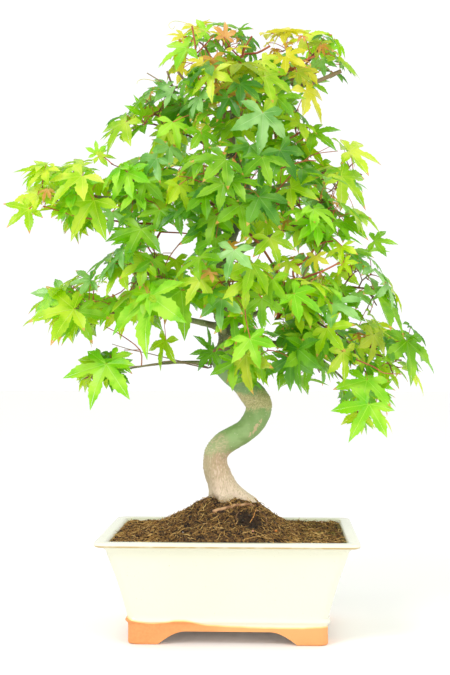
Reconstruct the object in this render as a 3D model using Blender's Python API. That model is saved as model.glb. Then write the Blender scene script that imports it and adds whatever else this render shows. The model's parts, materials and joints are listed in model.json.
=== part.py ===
"""Japanese maple bonsai in a rectangular glazed pot, 65 cm tall and 47 cm wide.

Metres, +Z up. The origin is on the ground under the middle of the pot. +X runs along
the pot's long side, and the front of the tree faces -Y.
"""

import math
import random

import bmesh
import bpy
from mathutils import Vector, noise
from mathutils.bvhtree import BVHTree

# Gap that neighbouring solids keep
CLEARANCE = 0.0003

# Pot: size over the lip, and the outer wall as insets from the lip's edge
POT_WIDTH = 0.267
POT_DEPTH = 0.195
POT_HEIGHT = 0.107
CORNER_RADIUS = 0.009
DEPTH_TAPER = 0.81
LIP_WIDTH = 0.011
LIP_THICKNESS = 0.0045
NECK_INSET = 0.0115
NECK_HEIGHT = 0.093
BASE_INSET = 0.0308
BASE_HEIGHT = 0.0265
WALL_HOLLOW = 0.0012
WALL = 0.0075
FLOOR_HEIGHT = 0.024
LEDGE = 0.0022

# Bracket feet: a band of clay under the glaze, hollow beneath and arched on all sides
FOOT_WALL = 0.011
UNDERSIDE = 0.0155
ARCH_HEIGHT = 0.0135
ARCH_LONG = (0.0715, 0.0425)
ARCH_SHORT = (0.047, 0.024)
DRAIN_RADIUS = 0.007
DRAIN_SPACING = 0.100

# Soil: level against the wall, and mounded up to the trunk
SOIL_EDGE = 0.1035
SOIL_TOP = 0.138
SOIL_PLATEAU = 0.031
MOUND_REACH = 0.105
MOUND_SQUEEZE = 0.72
SOIL_BUMP = 0.0014

# Trunk: centre line and radius, from the cut at soil level to the pruned tip
TRUNK_KNOTS = (
    ((0.003, 0.000, SOIL_TOP + CLEARANCE), 0.0165),
    ((-0.007, 0.000, 0.152), 0.0150),
    ((-0.016, -0.001, 0.179), 0.0132),
    ((-0.009, -0.003, 0.197), 0.0126),
    ((0.019, -0.002, 0.216), 0.0124),
    ((0.031, 0.001, 0.240), 0.0137),
    ((0.016, 0.004, 0.263), 0.0137),
    ((-0.007, 0.003, 0.286), 0.0124),
    ((-0.009, 0.000, 0.312), 0.0106),
    ((-0.013, -0.004, 0.372), 0.0085),
    ((0.004, 0.002, 0.435), 0.0068),
    ((0.016, 0.006, 0.480), 0.0058),
    ((0.001, 0.004, 0.525), 0.0047),
    ((0.011, 0.002, 0.590), 0.0030),
)
TRUNK_SIDES = 10
RINGS_PER_KNOT = 3
FLARE = 0.0080
FLARE_HEIGHT = 0.0085
ROOT_LOBES = 5
ROOT_LOBE_DEPTH = 0.30

# Boughs
BOUGH_SIDES = 5
BOUGH_RINGS = 5
BOUGH_TIP = 0.42
BOUGH_BEND = 0.45
BOUGH_RISE = 0.10
BOUGH_SWAY = 0.06
COLLAR = 1.45
BRACE_LENGTH = 0.010
ENTRY_SHARE = 0.80
ENTRY_GAP = 0.004

# Twigs and leaves
STEM_RADIUS = 0.0017
STEM_PAST_MIDDLE = 0.30
TWIG_RADIUS = 0.0010
TWIG_ROOT = 0.62
TWIG_LEAST = 0.006
PETIOLE_SUNK = 0.0012
PETIOLE_RADIUS = 0.00042
PETIOLE_LENGTH = (0.007, 0.036)
LEAF_LENGTH = (0.041, 0.049)
LEAF_TOP = 0.0004
LEAF_KEEL = 0.0008
LEAF_DROOP = (0.10, 0.32)
LEAF_REACH = 1.08
LEAF_TRIES = 150
LEAF_SHRINK = 0.22
LEAVES_A_TWIG = 4
TWIG_SHARE = 0.42
STALK_SQUARE = 0.3
SPACE_GAP = 0.0002
GOLDEN_ANGLE = math.pi * (3 - math.sqrt(5))

# Each leaf's place between its mass's centre and edge, and how far it strays from its
# even direction, on the first try and on the last
LEAF_DEPTH = (0.80, 0.45)
LEAF_STRAY = (0.25, 0.75)

# Leaf outline: angle from the midrib in degrees, length and how far each point droops
HEEL = (115, 0.035, 0.0)
LEAF_OUTLINE = (
    (-84, 0.80, 0.8),
    (-62, 0.45, 0.1),
    (-42, 0.96, 1.0),
    (-21, 0.50, 0.1),
    (0, 1.00, 1.1),
    (21, 0.50, 0.1),
    (42, 0.96, 1.0),
    (62, 0.45, 0.1),
    (84, 0.80, 0.8),
)

# Foliage: centre, half sizes, leaves, what carries the bough and where, bough's radius.
# A place on the trunk is a height, and one on a bough is a share of its length. A mass
# with no bough has its stem straight on the trunk.
FOLIAGE = {
    "apex_left": ((-0.020, 0.000, 0.613), (0.060, 0.056, 0.044), 15, "trunk", 0.562, 0.0026),
    "apex_right": ((0.080, -0.008, 0.604), (0.062, 0.056, 0.047), 14, "trunk", 0.540, 0.0028),
    "upper_left": ((-0.084, -0.012, 0.540), (0.060, 0.056, 0.046), 15, "trunk", 0.503, 0.0028),
    "upper_front": ((0.000, -0.062, 0.556), (0.058, 0.054, 0.052), 14, "trunk", 0.520, 0),
    "upper_right": ((0.072, -0.020, 0.528), (0.058, 0.058, 0.048), 14, "trunk", 0.490, 0.0028),
    "back_top": ((0.005, 0.070, 0.570), (0.066, 0.058, 0.056), 12, "trunk", 0.545, 0),
    "left_arm": ((-0.178, -0.045, 0.460), (0.066, 0.058, 0.052), 15, "trunk", 0.428, 0.0038),
    "left_inner": ((-0.092, -0.050, 0.474), (0.054, 0.056, 0.054), 13, "trunk", 0.456, 0.0030),
    "centre_front": ((-0.006, -0.086, 0.456), (0.058, 0.058, 0.056), 12, "trunk", 0.405, 0.0034),
    "right_mid": ((0.092, -0.050, 0.440), (0.060, 0.056, 0.054), 14, "trunk", 0.385, 0.0036),
    "right_shoulder": ((0.124, 0.012, 0.486), (0.058, 0.060, 0.050), 14, "trunk", 0.462, 0.0032),
    "back_mid_left": ((-0.084, 0.080, 0.480), (0.066, 0.062, 0.058), 12, "trunk", 0.442, 0.0034),
    "back_mid_right": ((0.044, 0.090, 0.464), (0.068, 0.062, 0.060), 12, "trunk", 0.425, 0.0034),
    "left_low_arm": ((-0.164, 0.000, 0.338), (0.068, 0.064, 0.050), 14, "trunk", 0.322, 0.0038),
    "left_low_inner": ((-0.090, -0.048, 0.378), (0.058, 0.056, 0.060), 13, "trunk", 0.352, 0.0030),
    "centre_low": ((0.000, -0.091, 0.364), (0.058, 0.058, 0.054), 12, "trunk", 0.314, 0.0034),
    "right_low_inner": ((0.080, -0.050, 0.358), (0.056, 0.056, 0.054), 13, "trunk", 0.330, 0.0028),
    "right_outer": ((0.146, 0.008, 0.366), (0.060, 0.062, 0.054), 14, "trunk", 0.352, 0.0038),
    "right_low_outer": ((0.168, 0.035, 0.292), (0.066, 0.062, 0.048), 13, "trunk", 0.302, 0.0040),
    "low_centre_right": ((0.084, -0.036, 0.292), (0.058, 0.056, 0.048), 13, "right_low_outer", 0.34, 0.0022),
    "right_hanging": ((0.144, -0.010, 0.240), (0.046, 0.044, 0.038), 8, "right_low_outer", 0.70, 0.0020),
    "left_hanging": ((-0.142, -0.020, 0.272), (0.048, 0.046, 0.040), 8, "trunk", 0.284, 0.0022),
    "front_foot": ((0.020, -0.072, 0.292), (0.044, 0.044, 0.040), 7, "trunk", 0.276, 0.0022),
    "back_low_left": ((-0.088, 0.080, 0.370), (0.066, 0.064, 0.060), 12, "trunk", 0.332, 0.0034),
    "back_low_right": ((0.078, 0.088, 0.358), (0.066, 0.062, 0.060), 12, "trunk", 0.322, 0.0034),
    "back_low": ((-0.006, 0.097, 0.314), (0.056, 0.050, 0.052), 9, "trunk", 0.300, 0.0032),
}


def clear_scene():
    for obj in list(bpy.data.objects):
        bpy.data.objects.remove(obj, do_unlink=True)


def material(name, colour, roughness, metallic=0.0):
    mat = bpy.data.materials.new(name)
    mat.use_nodes = True
    shader = mat.node_tree.nodes["Principled BSDF"]
    shader.inputs["Base Color"].default_value = (*colour, 1.0)
    shader.inputs["Roughness"].default_value = roughness
    shader.inputs["Metallic"].default_value = metallic
    return mat


def add_object(name, shape, mat):
    vertices, faces = shape
    mesh = bpy.data.meshes.new(name)
    mesh.from_pydata([tuple(v) for v in vertices], [], faces)
    mesh.materials.append(mat)
    obj = bpy.data.objects.new(name, mesh)
    bpy.context.collection.objects.link(obj)
    return obj


def mix(a, b, share):
    return a + (b - a) * share


def loft(rings):
    """Skin a list of rings of equal length, wound anticlockwise, and close both ends."""
    count = len(rings[0])
    vertices = [point for ring in rings for point in ring]
    faces = [tuple(reversed(range(count)))]
    for k in range(len(rings) - 1):
        low, high = k * count, (k + 1) * count
        for j in range(count):
            n = (j + 1) % count
            faces.append((low + j, low + n, high + n, high + j))
    last = (len(rings) - 1) * count
    faces.append(tuple(range(last, last + count)))
    return vertices, faces


def apply_boolean(obj, operation, cutter=None, collection=None, solver="EXACT"):
    """Join or cut a mesh for good, leaving it with no modifier."""
    modifier = obj.modifiers.new("boolean", "BOOLEAN")
    modifier.operation = operation
    modifier.solver = solver
    if cutter:
        modifier.object = cutter
    else:
        modifier.operand_type = "COLLECTION"
        modifier.collection = collection
    graph = bpy.context.evaluated_depsgraph_get()
    result = bpy.data.meshes.new_from_object(obj.evaluated_get(graph))
    obj.modifiers.clear()
    old, obj.data = obj.data, result
    bpy.data.meshes.remove(old)
    result.name = obj.name


def main_body(obj):
    """Drop any loose scrap that a cut or a union left, keeping the largest body."""
    shape = bmesh.new()
    shape.from_mesh(obj.data)
    bodies, seen = [], set()
    for first in shape.verts:
        if first in seen:
            continue
        body, stack = [], [first]
        seen.add(first)
        while stack:
            vertex = stack.pop()
            body.append(vertex)
            for edge in vertex.link_edges:
                other = edge.other_vert(vertex)
                if other not in seen:
                    seen.add(other)
                    stack.append(other)
        bodies.append(body)
    bodies.sort(key=len)
    for scrap in bodies[:-1]:
        bmesh.ops.delete(shape, geom=scrap, context="VERTS")
    shape.to_mesh(obj.data)
    shape.free()


def hide_cutter(obj):
    obj.hide_render = True
    obj.display_type = "WIRE"


# Pot


def rounded_ring(inset, height, along_long=0, along_short=0):
    """A rounded rectangle set in from the lip, with extra points along its straights."""
    half_x = POT_WIDTH / 2 - inset
    half_y = POT_DEPTH / 2 - inset * DEPTH_TAPER
    cx, cy = half_x - CORNER_RADIUS, half_y - CORNER_RADIUS
    ring = []
    for quarter, (sx, sy) in enumerate(((1, 1), (-1, 1), (-1, -1), (1, -1))):
        for k in range(4):
            angle = math.radians(90 * quarter + 30 * k)
            ring.append(
                Vector(
                    (
                        sx * cx + CORNER_RADIUS * math.cos(angle),
                        sy * cy + CORNER_RADIUS * math.sin(angle),
                        height,
                    )
                )
            )
        extra = along_long if quarter % 2 == 0 else along_short
        end = (
            Vector((-sx * cx, sy * half_y, height))
            if quarter % 2 == 0
            else Vector((sx * half_x, -sy * cy, height))
        )
        start = ring[-1]
        for k in range(extra):
            ring.append(start.lerp(end, (k + 1) / (extra + 1)))
    return ring


def wall_inset(height):
    """The outer wall leans out evenly, and is a little hollow halfway up."""
    share = (height - BASE_HEIGHT) / (NECK_HEIGHT - BASE_HEIGHT)
    return mix(BASE_INSET, NECK_INSET, share) + WALL_HOLLOW * math.sin(math.pi * share)


def inner_profile():
    """Insets and heights of the inner wall, from the lip down to the floor."""
    profile = [
        (LIP_WIDTH, POT_HEIGHT - 0.0008),
        (LIP_WIDTH + 0.0012, POT_HEIGHT - 0.0030),
    ]
    for share in (0.0, 0.3, 0.6, 0.85):
        height = mix(NECK_HEIGHT, FLOOR_HEIGHT, share)
        profile.append((wall_inset(max(height, BASE_HEIGHT)) + WALL, height))
    profile.append((BASE_INSET + WALL + 0.009, FLOOR_HEIGHT))
    return profile


def arch_cutter(name, ground, top, along_x):
    """A prism whose section is one arch between two feet."""
    half = []
    for k in range(6):
        share = k / 5
        rise = ARCH_HEIGHT * math.sin(share * math.pi / 2)
        half.append((mix(ground, top, share), rise))
    section = [(ground, -0.002)] + half
    section += [(-x, z) for x, z in reversed(section)]
    reach = POT_WIDTH / 2
    if along_x:
        rings = [[Vector((x, -y, z)) for y, z in section] for x in (-reach, reach)]
        rings = [list(reversed(ring)) for ring in rings]
    else:
        rings = [[Vector((x, y, z)) for x, z in section] for y in (-reach, reach)]
        rings = [list(reversed(ring)) for ring in rings]
    cutter = add_object(name, loft(rings), materials["clay"])
    hide_cutter(cutter)
    return cutter


def drain_cutter(name, x):
    rings = []
    for height in (UNDERSIDE - 0.005, FLOOR_HEIGHT + 0.005):
        ring = []
        for k in range(12):
            angle = 2 * math.pi * k / 12
            ring.append(
                Vector(
                    (
                        x + DRAIN_RADIUS * math.cos(angle),
                        DRAIN_RADIUS * math.sin(angle),
                        height,
                    )
                )
            )
        rings.append(ring)
    cutter = add_object(name, loft(rings), materials["clay"])
    hide_cutter(cutter)
    return cutter


def make_pot():
    foot_inset = BASE_INSET + 0.0004
    profile = [
        (foot_inset + FOOT_WALL, UNDERSIDE),
        (foot_inset + FOOT_WALL, 0.0),
        (foot_inset + 0.0010, 0.0),
        (foot_inset, 0.0012),
        (foot_inset, BASE_HEIGHT - 0.0060),
        (BASE_INSET - LEDGE, BASE_HEIGHT - 0.0020),
    ]
    for share in (0.0, 0.25, 0.5, 0.75, 1.0):
        height = mix(BASE_HEIGHT, NECK_HEIGHT, share)
        profile.append((wall_inset(height), height))
    profile += [
        (NECK_INSET * 0.70, NECK_HEIGHT + 0.0050),
        (NECK_INSET * 0.18, POT_HEIGHT - LIP_THICKNESS - 0.0008),
        (0.0, POT_HEIGHT - LIP_THICKNESS + 0.0010),
        (0.0, POT_HEIGHT - 0.0012),
        (0.0012, POT_HEIGHT),
        (LIP_WIDTH - 0.0012, POT_HEIGHT),
    ]
    profile += inner_profile()
    rings = [rounded_ring(inset, height) for inset, height in profile]
    pot = add_object("pot", loft(rings), materials["glaze"])
    cutters = [
        arch_cutter("cut_arch_front", *ARCH_LONG, along_x=False),
        arch_cutter("cut_arch_side", *ARCH_SHORT, along_x=True),
        drain_cutter("cut_drain_left", -DRAIN_SPACING / 2),
        drain_cutter("cut_drain_right", DRAIN_SPACING / 2),
    ]
    for cutter in cutters:
        cut = pot.modifiers.new(cutter.name, "BOOLEAN")
        cut.operation = "DIFFERENCE"
        cut.object = cutter
    return pot


# Soil


def soil_height(point, centre):
    """The mound falls away from the trunk, faster on its right than on its left."""
    x, y = point.x - centre.x, point.y - centre.y
    if x > 0:
        x /= MOUND_SQUEEZE
    away = math.hypot(x, y) - SOIL_PLATEAU
    share = min(max(away / (MOUND_REACH - SOIL_PLATEAU), 0.0), 1.0)
    bump = SOIL_BUMP * noise.noise(Vector((point.x, point.y, 0.0)) * 60)
    slope = (1 - share) * (1 - 0.35 * math.sin(math.pi * share) * share)
    return mix(SOIL_EDGE, SOIL_TOP, slope) + bump * min(1.0, 4 * share)


def make_soil():
    centre = Vector((TRUNK_KNOTS[0][0][0], TRUNK_KNOTS[0][0][1], 0.0))
    gap = CLEARANCE * 1.3
    walls = [(i + gap, z) for i, z in inner_profile() if z < SOIL_EDGE]
    lip_inset, lip_height = inner_profile()[1]
    share = (SOIL_EDGE - walls[0][1]) / (lip_height - walls[0][1])
    edge_inset = mix(walls[0][0], lip_inset + gap, share)
    rings = []
    for inset, height in reversed(walls[:-1]):
        rings.append(rounded_ring(inset, max(height, FLOOR_HEIGHT), 3, 2))
    floor_inset, floor_height = walls[-1]
    rings.insert(0, rounded_ring(floor_inset, floor_height + CLEARANCE, 3, 2))
    edge = rounded_ring(edge_inset, SOIL_EDGE, 3, 2)
    rings.append(edge)
    steps = 6
    for k in range(1, steps + 1):
        ring = []
        for corner in edge:
            away = (corner - centre).to_2d().normalized()
            near = centre + Vector((away.x, away.y, 0)) * SOIL_PLATEAU
            near.z = SOIL_EDGE
            point = corner.lerp(near, k / steps)
            point.z = soil_height(point, centre) if k < steps else SOIL_TOP
            ring.append(point)
        rings.append(ring)
    return add_object("soil", loft(rings), materials["soil"])


# Trunk and boughs


def smooth_path(knots, steps):
    """Points of a Catmull-Rom curve through the knots; each knot is a tuple of numbers."""
    points = []
    for k in range(len(knots) - 1):
        a = knots[max(k - 1, 0)]
        b, c = knots[k], knots[k + 1]
        d = knots[min(k + 2, len(knots) - 1)]
        for s in range(steps):
            t = s / steps
            points.append(
                tuple(
                    0.5
                    * (
                        2 * q
                        + (r - p) * t
                        + (2 * p - 5 * q + 4 * r - u) * t * t
                        + (3 * q - p - 3 * r + u) * t**3
                    )
                    for p, q, r, u in zip(a, b, c, d)
                )
            )
    points.append(tuple(knots[-1]))
    return points


def tangents(points):
    found = []
    for k in range(len(points)):
        before = points[max(k - 1, 0)]
        after = points[min(k + 1, len(points) - 1)]
        found.append((after - before).normalized())
    return found


def tube(points, radii, sides, ways=None, swell=None):
    """A solid of round section along a path, with flat ends and no twist."""
    ways = ways or tangents(points)
    side = ways[0].orthogonal().normalized()
    rings = []
    for k, (point, radius, way) in enumerate(zip(points, radii, ways)):
        side = (side - way * side.dot(way)).normalized()
        up = way.cross(side)
        ring = []
        for j in range(sides):
            angle = 2 * math.pi * j / sides
            reach = radius * (swell(k, angle) if swell else 1.0)
            ring.append(point + (side * math.cos(angle) + up * math.sin(angle)) * reach)
        rings.append(ring)
    return loft(rings)


def trunk_line():
    """The trunk's points and radii from the cut upwards."""
    knots = [(*place, radius) for place, radius in TRUNK_KNOTS]
    path = smooth_path(knots, RINGS_PER_KNOT)
    return [Vector(p[:3]) for p in path], [p[3] for p in path]


def trunk_shape(grow=0.0):
    points, radii = trunk_line()
    ways = tangents(points)
    foot = points[0].z
    upright = Vector((0, 0, 1))
    flare = []
    for k, point in enumerate(points):
        lean = min(1.0, (point.z - foot) / 0.020)
        ways[k] = upright.lerp(ways[k], lean).normalized()
        flare.append(math.exp(-(point.z - foot) / FLARE_HEIGHT))
        radii[k] += FLARE * flare[k] + grow

    points[-1] += ways[-1] * grow

    def swell(k, angle):
        return 1.0 + ROOT_LOBE_DEPTH * flare[k] * math.cos(ROOT_LOBES * angle + 0.6)

    return tube(points, radii, TRUNK_SIDES, ways, swell)


def on_trunk(height):
    """The trunk's centre at a height above its bends."""
    points, _ = trunk_line()
    for k in range(len(points) - 1):
        low, high = points[k].z, points[k + 1].z
        if low <= height <= high:
            share = (height - low) / (high - low)
            return points[k].lerp(points[k + 1], share)
    return points[-1]


def curve_to(start, end, rise):
    """Points of a bough's centre line, which climbs at first and then levels out."""
    bend = start.lerp(end, BOUGH_BEND) + Vector((0, 0, rise))
    sway = (end - start).cross(Vector((0, 0, 1))) * BOUGH_SWAY
    points = []
    count = 40
    for k in range(count + 1):
        t = k / count
        point = start * (1 - t) ** 2 + bend * 2 * t * (1 - t) + end * t**2
        points.append(point + sway * math.sin(2 * math.pi * t))
    return points


def resample(points, count):
    """Pick evenly spaced points of a path, with both of its ends."""
    last = len(points) - 1
    return [points[round(last * k / (count - 1))] for k in range(count)]


# Spaces


def ellipsoid_share(space, point):
    """0 at a mass's centre and 1 on its surface."""
    away = point - space["centre"]
    return math.sqrt(sum((a / h) ** 2 for a, h in zip(away, space["half"])))


def support(space, way):
    return math.sqrt(sum((h * w) ** 2 for h, w in zip(space["half"], way)))


def make_spaces():
    """Each mass's centre, half sizes, and the flat boundaries that it shares."""
    spaces = {}
    for name, (centre, half, *_) in FOLIAGE.items():
        spaces[name] = {"centre": Vector(centre), "half": Vector(half), "walls": []}
    for name, space in spaces.items():
        for other_name, other in spaces.items():
            if other_name == name:
                continue
            away = other["centre"] - space["centre"]
            way = away.normalized()
            mine, theirs = support(space, way), support(other, way)
            share = mine / (mine + theirs)
            space["walls"].append((space["centre"] + away * share, way))
    return spaces


def room(space, way):
    """How far a mass's space reaches from its centre along a direction of length 1."""
    centre = space["centre"]
    reach = 1 / math.sqrt(sum((w / h) ** 2 for w, h in zip(way, space["half"])))
    for place, wall_way in space["walls"]:
        slope = way.dot(wall_way)
        if slope > 0:
            reach = min(reach, (place - centre).dot(wall_way) / slope)
    return reach


def inside(space, point, reach, gap=SPACE_GAP):
    if ellipsoid_share(space, point) > reach:
        return False
    return all((point - place).dot(way) <= -gap for place, way in space["walls"])


# Boughs carry the masses


def trim(obj, carrier_shape):
    """Cut a limb or a stem off 0.3 mm clear of the limb that carries it."""
    cutter = add_object("carrier", carrier_shape, materials["bark"])
    apply_boolean(obj, "DIFFERENCE", cutter)
    bpy.data.objects.remove(cutter, do_unlink=True)
    main_body(obj)


def tapering_bough(name, points, radius):
    """A limb that is braced at its root and tapers to its tip, with its radii."""
    count = len(points)
    length = sum((points[k + 1] - points[k]).length for k in range(count - 1))
    radii = []
    run = 0.0
    for k in range(count):
        if k:
            run += (points[k] - points[k - 1]).length
        taper = mix(1.0, BOUGH_TIP, run / length)
        brace = 1 + (COLLAR - 1) * math.exp(-run / BRACE_LENGTH)
        radii.append(radius * taper * brace)
    return add_object(name, tube(points, radii, BOUGH_SIDES), materials["bark"]), radii


def entry(points, space):
    """The last point of a path before it enters a mass's space."""
    for k, point in enumerate(points):
        if inside(space, point, ENTRY_SHARE, ENTRY_GAP):
            return k
    return len(points) - 1


def make_boughs(spaces):
    """Each bough in turn, with where its mass's stem starts and which way it heads."""
    limbs = {"trunk": add_object("trunk", trunk_shape(), materials["bark"])}
    lines = {}
    for name, (_, _, _, carrier, place, radius) in FOLIAGE.items():
        space = spaces[name]
        if carrier == "trunk":
            start = on_trunk(place)
            carrier_shape = trunk_shape(CLEARANCE)
        else:
            line, line_radii = lines[carrier]["points"], lines[carrier]["radii"]
            start = line[round(place * (len(line) - 1))]
            grown = [r + CLEARANCE for r in line_radii]
            carrier_shape = tube(line, grown, BOUGH_SIDES)
        away = space["centre"] - start
        rise = BOUGH_RISE * away.to_2d().length
        path = curve_to(start, space["centre"], rise)
        if radius == 0:
            lines[name] = {"tip": start, "way": tangents(path)[0], "cut": carrier_shape}
            lines[name]["radius"] = STEM_RADIUS
            continue
        last = max(entry(path, space), 8)
        points = resample(path[: last + 1], BOUGH_RINGS)
        bough, radii = tapering_bough(f"bough_{name}", points, radius)
        trim(bough, carrier_shape)
        limbs[name] = bough
        way = tangents(points)[-1]
        lines[name] = {
            "points": points,
            "radii": radii,
            "tip": points[-1] + way * CLEARANCE,
            "way": way,
            "radius": radii[-1] * 0.95,
            "cut": None,
        }
    return limbs, lines


# Leaves


def leaf_shape(root, base, axis, normal, length, droop):
    """A five-lobed leaf on its stalk, as one closed shape of 28 triangles."""
    side = normal.cross(axis)

    def spot(angle, reach, sink):
        bearing = math.radians(angle)
        flat = axis * math.cos(bearing) + side * math.sin(bearing)
        return base + (flat * reach - normal * sink * droop) * length

    outline = [(-HEEL[0], *HEEL[1:]), *LEAF_OUTLINE, HEEL]
    vertices = [spot(*corner) for corner in outline]
    top, bottom = len(vertices), len(vertices) + 1
    vertices += [base + normal * LEAF_TOP, base - normal * LEAF_KEEL]
    left, right = 0, len(outline) - 1
    faces = [(top, right, left)]
    for k in range(len(outline) - 1):
        faces.append((top, k, k + 1))
        faces.append((bottom, k + 1, k))
    low = len(vertices)
    way = (base - root).normalized()
    level = (side - way * side.dot(way)).normalized()
    raised = way.cross(level)
    for across, height in ((-0.87, 0.5), (0.87, 0.5), (0.0, -1.0)):
        vertices.append(root + (level * across + raised * height) * PETIOLE_RADIUS)
    faces.append((left, right, low + 1, low))
    faces.append((right, bottom, low + 2, low + 1))
    faces.append((bottom, left, low, low + 2))
    faces.append((low, low + 1, low + 2))
    return vertices, faces


def tree_of(shape):
    vertices, faces = shape
    return BVHTree.FromPolygons([tuple(v) for v in vertices], faces)


def spread(count, phase):
    """Directions spaced evenly over a sphere, one golden angle after another."""
    ways = []
    for k in range(count):
        height = 1 - 2 * (k + 0.5) / count
        ring = math.sqrt(1 - height * height)
        turn = phase + GOLDEN_ANGLE * k
        ways.append(Vector((ring * math.cos(turn), ring * math.sin(turn), height)))
    return ways


def mass_stem(space, line):
    """A three-sided stem from the bough's tip to past the middle of the mass."""
    start, centre = line["tip"], space["centre"]
    through = (centre - start).normalized()
    end = centre + through * room(space, through) * STEM_PAST_MIDDLE
    bend = start + line["way"] * (centre - start).length * 0.5
    spine = []
    for k in range(4):
        t = k / 3
        spine.append(start * (1 - t) ** 2 + bend * 2 * t * (1 - t) + end * t**2)
    ways = tangents(spine)
    ways[0] = line["way"]
    radii = [mix(line["radius"], TWIG_RADIUS, k / 3) for k in range(4)]
    return spine, tube(spine, radii, 3, ways)


def mass_twigs(space, spine, count, phase, obstacles, others):
    """Twigs from the stem to points spread around the middle of the mass."""
    twigs = []
    for way in spread(count, phase):
        tip = space["centre"] + way * room(space, way) * TWIG_SHARE
        nearest = min(range(1, 4), key=lambda i: (spine[i] - tip).length)
        root = spine[nearest] if nearest < 3 else spine[3].lerp(spine[2], 0.08)
        if (tip - root).length < TWIG_LEAST:
            continue
        radii = [TWIG_RADIUS * TWIG_ROOT, TWIG_RADIUS]
        shape = tube([root, tip], radii, 3)
        probe = tree_of(tube([root.lerp(tip, 0.2), tip], radii, 3))
        if probe.overlap(obstacles) or any(probe.overlap(other) for other in others):
            continue
        if not all(inside(space, v, 1.0) for v in shape[0][3:]):
            continue
        hold = tip - (tip - root).normalized() * PETIOLE_SUNK
        twigs.append({"shape": shape, "probe": probe, "hold": hold, "leaves": 0})
        others.append(probe)
    return twigs


def try_leaf(space, way, depth, twigs, obstacles, others, shrink, rng):
    """A leaf whose blade lies about a point of the mass, on the nearest twig's end."""
    middle = space["centre"] + way * room(space, way) * depth
    outward = Vector((way.x, way.y, 0.0))
    lift = Vector((0, 0, rng.uniform(0.25, 0.8)))
    normal = (outward * rng.uniform(0.5, 1.3) + lift).normalized()
    fall = rng.uniform(0.1, 0.7) if way.z < 0.5 else rng.uniform(-0.3, 0.3)
    drift = Vector((rng.uniform(-0.6, 0.6), rng.uniform(-0.6, 0.6), -fall))
    heading = outward + drift
    axis = (heading - normal * heading.dot(normal)).normalized()
    length = rng.uniform(*LEAF_LENGTH) * shrink
    base = middle - axis * length * 0.35
    twig = min(twigs, key=lambda t: (t["hold"] - base).length)
    stalk = (base - twig["hold"]).length
    if not PETIOLE_LENGTH[0] < stalk < PETIOLE_LENGTH[1]:
        return None
    droop = rng.uniform(*LEAF_DROOP)
    shape = leaf_shape(twig["hold"], base, axis, normal, length, droop)
    blade, root = shape[0][:-3], shape[0][-3:]
    left, right, keel = blade[0], blade[len(LEAF_OUTLINE) + 1], blade[-1]
    seat = (right - left).cross(keel - left).normalized()
    if seat.dot((twig["hold"] - base).normalized()) < STALK_SQUARE:
        return None
    if not all(inside(space, v, LEAF_REACH) for v in blade):
        return None
    clear = blade + [v.lerp(base, 0.3) for v in root]
    probe = tree_of((clear, shape[1]))
    if probe.overlap(obstacles) or any(probe.overlap(other) for other in others):
        return None
    twig["leaves"] += 1
    others.append(probe)
    return shape


def grow_mass(name, space, line, leaves, obstacles):
    """A stem, its twigs, and leaves spread evenly through the mass's own space."""
    rng = random.Random(name)
    spine, stem = mass_stem(space, line)
    others = [tree_of(stem)]
    count = max(2, math.ceil(leaves / LEAVES_A_TWIG))
    phase = rng.uniform(0, 2 * math.pi)
    twigs = mass_twigs(space, spine, count, phase, obstacles, [])
    others += [twig["probe"] for twig in twigs]
    blades = []
    for way in spread(leaves, phase + 0.5):
        for attempt in range(LEAF_TRIES):
            late = attempt / LEAF_TRIES
            stray = mix(*LEAF_STRAY, late)
            turned = way + Vector(rng.uniform(-stray, stray) for _ in range(3))
            depth = rng.uniform(mix(*LEAF_DEPTH, late), LEAF_DEPTH[0])
            shrink = 1.0 - LEAF_SHRINK * late
            shape = try_leaf(
                space, turned.normalized(), depth, twigs, obstacles, others, shrink, rng
            )
            if shape:
                blades.append(shape)
                break
    grown = [twig["shape"] for twig in twigs if twig["leaves"]]
    return stem, grown + blades, len(blades)


def make_mass(name, space, line, leaves, obstacles):
    stem, shapes, placed = grow_mass(name, space, line, leaves, obstacles)
    mass = add_object(f"foliage_{name}", stem, materials["leaf"])
    mass["leaves"] = placed
    if line["cut"]:
        trim(mass, line["cut"])
    group = bpy.data.collections.new("joining")
    bpy.context.scene.collection.children.link(group)
    for k, shape in enumerate(shapes):
        piece = add_object(f"piece_{k}", shape, materials["leaf"])
        bpy.context.collection.objects.unlink(piece)
        group.objects.link(piece)
    apply_boolean(mass, "UNION", collection=group, solver="MANIFOLD")
    for piece in list(group.objects):
        bpy.data.objects.remove(piece, do_unlink=True)
    bpy.data.collections.remove(group)
    main_body(mass)
    return mass


clear_scene()
materials = {
    "glaze": material("glaze", (0.90, 0.89, 0.76), 0.22),
    "clay": material("clay", (0.76, 0.40, 0.19), 0.75),
    "soil": material("soil", (0.16, 0.09, 0.04), 0.95),
    "bark": material("bark", (0.36, 0.38, 0.22), 0.70),
    "leaf": material("leaf", (0.16, 0.42, 0.04), 0.45),
}
make_pot()
make_soil()
spaces = make_spaces()
limbs, lines = make_boughs(spaces)
solid_vertices, solid_faces = [], []
for limb in limbs.values():
    offset = len(solid_vertices)
    solid_vertices += [v.co.copy() for v in limb.data.vertices]
    solid_faces += [tuple(offset + v for v in f.vertices) for f in limb.data.polygons]
obstacles = tree_of((solid_vertices, solid_faces))
for name, (_, _, leaves, *_) in FOLIAGE.items():
    make_mass(name, spaces[name], lines[name], leaves, obstacles)
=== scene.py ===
"""Looks of a potted japanese maple bonsai, in metres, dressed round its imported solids."""

import json
import math
import random
from itertools import permutations

import bpy
from mathutils import Matrix, Vector, noise
from mathutils.bvhtree import BVHTree

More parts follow.
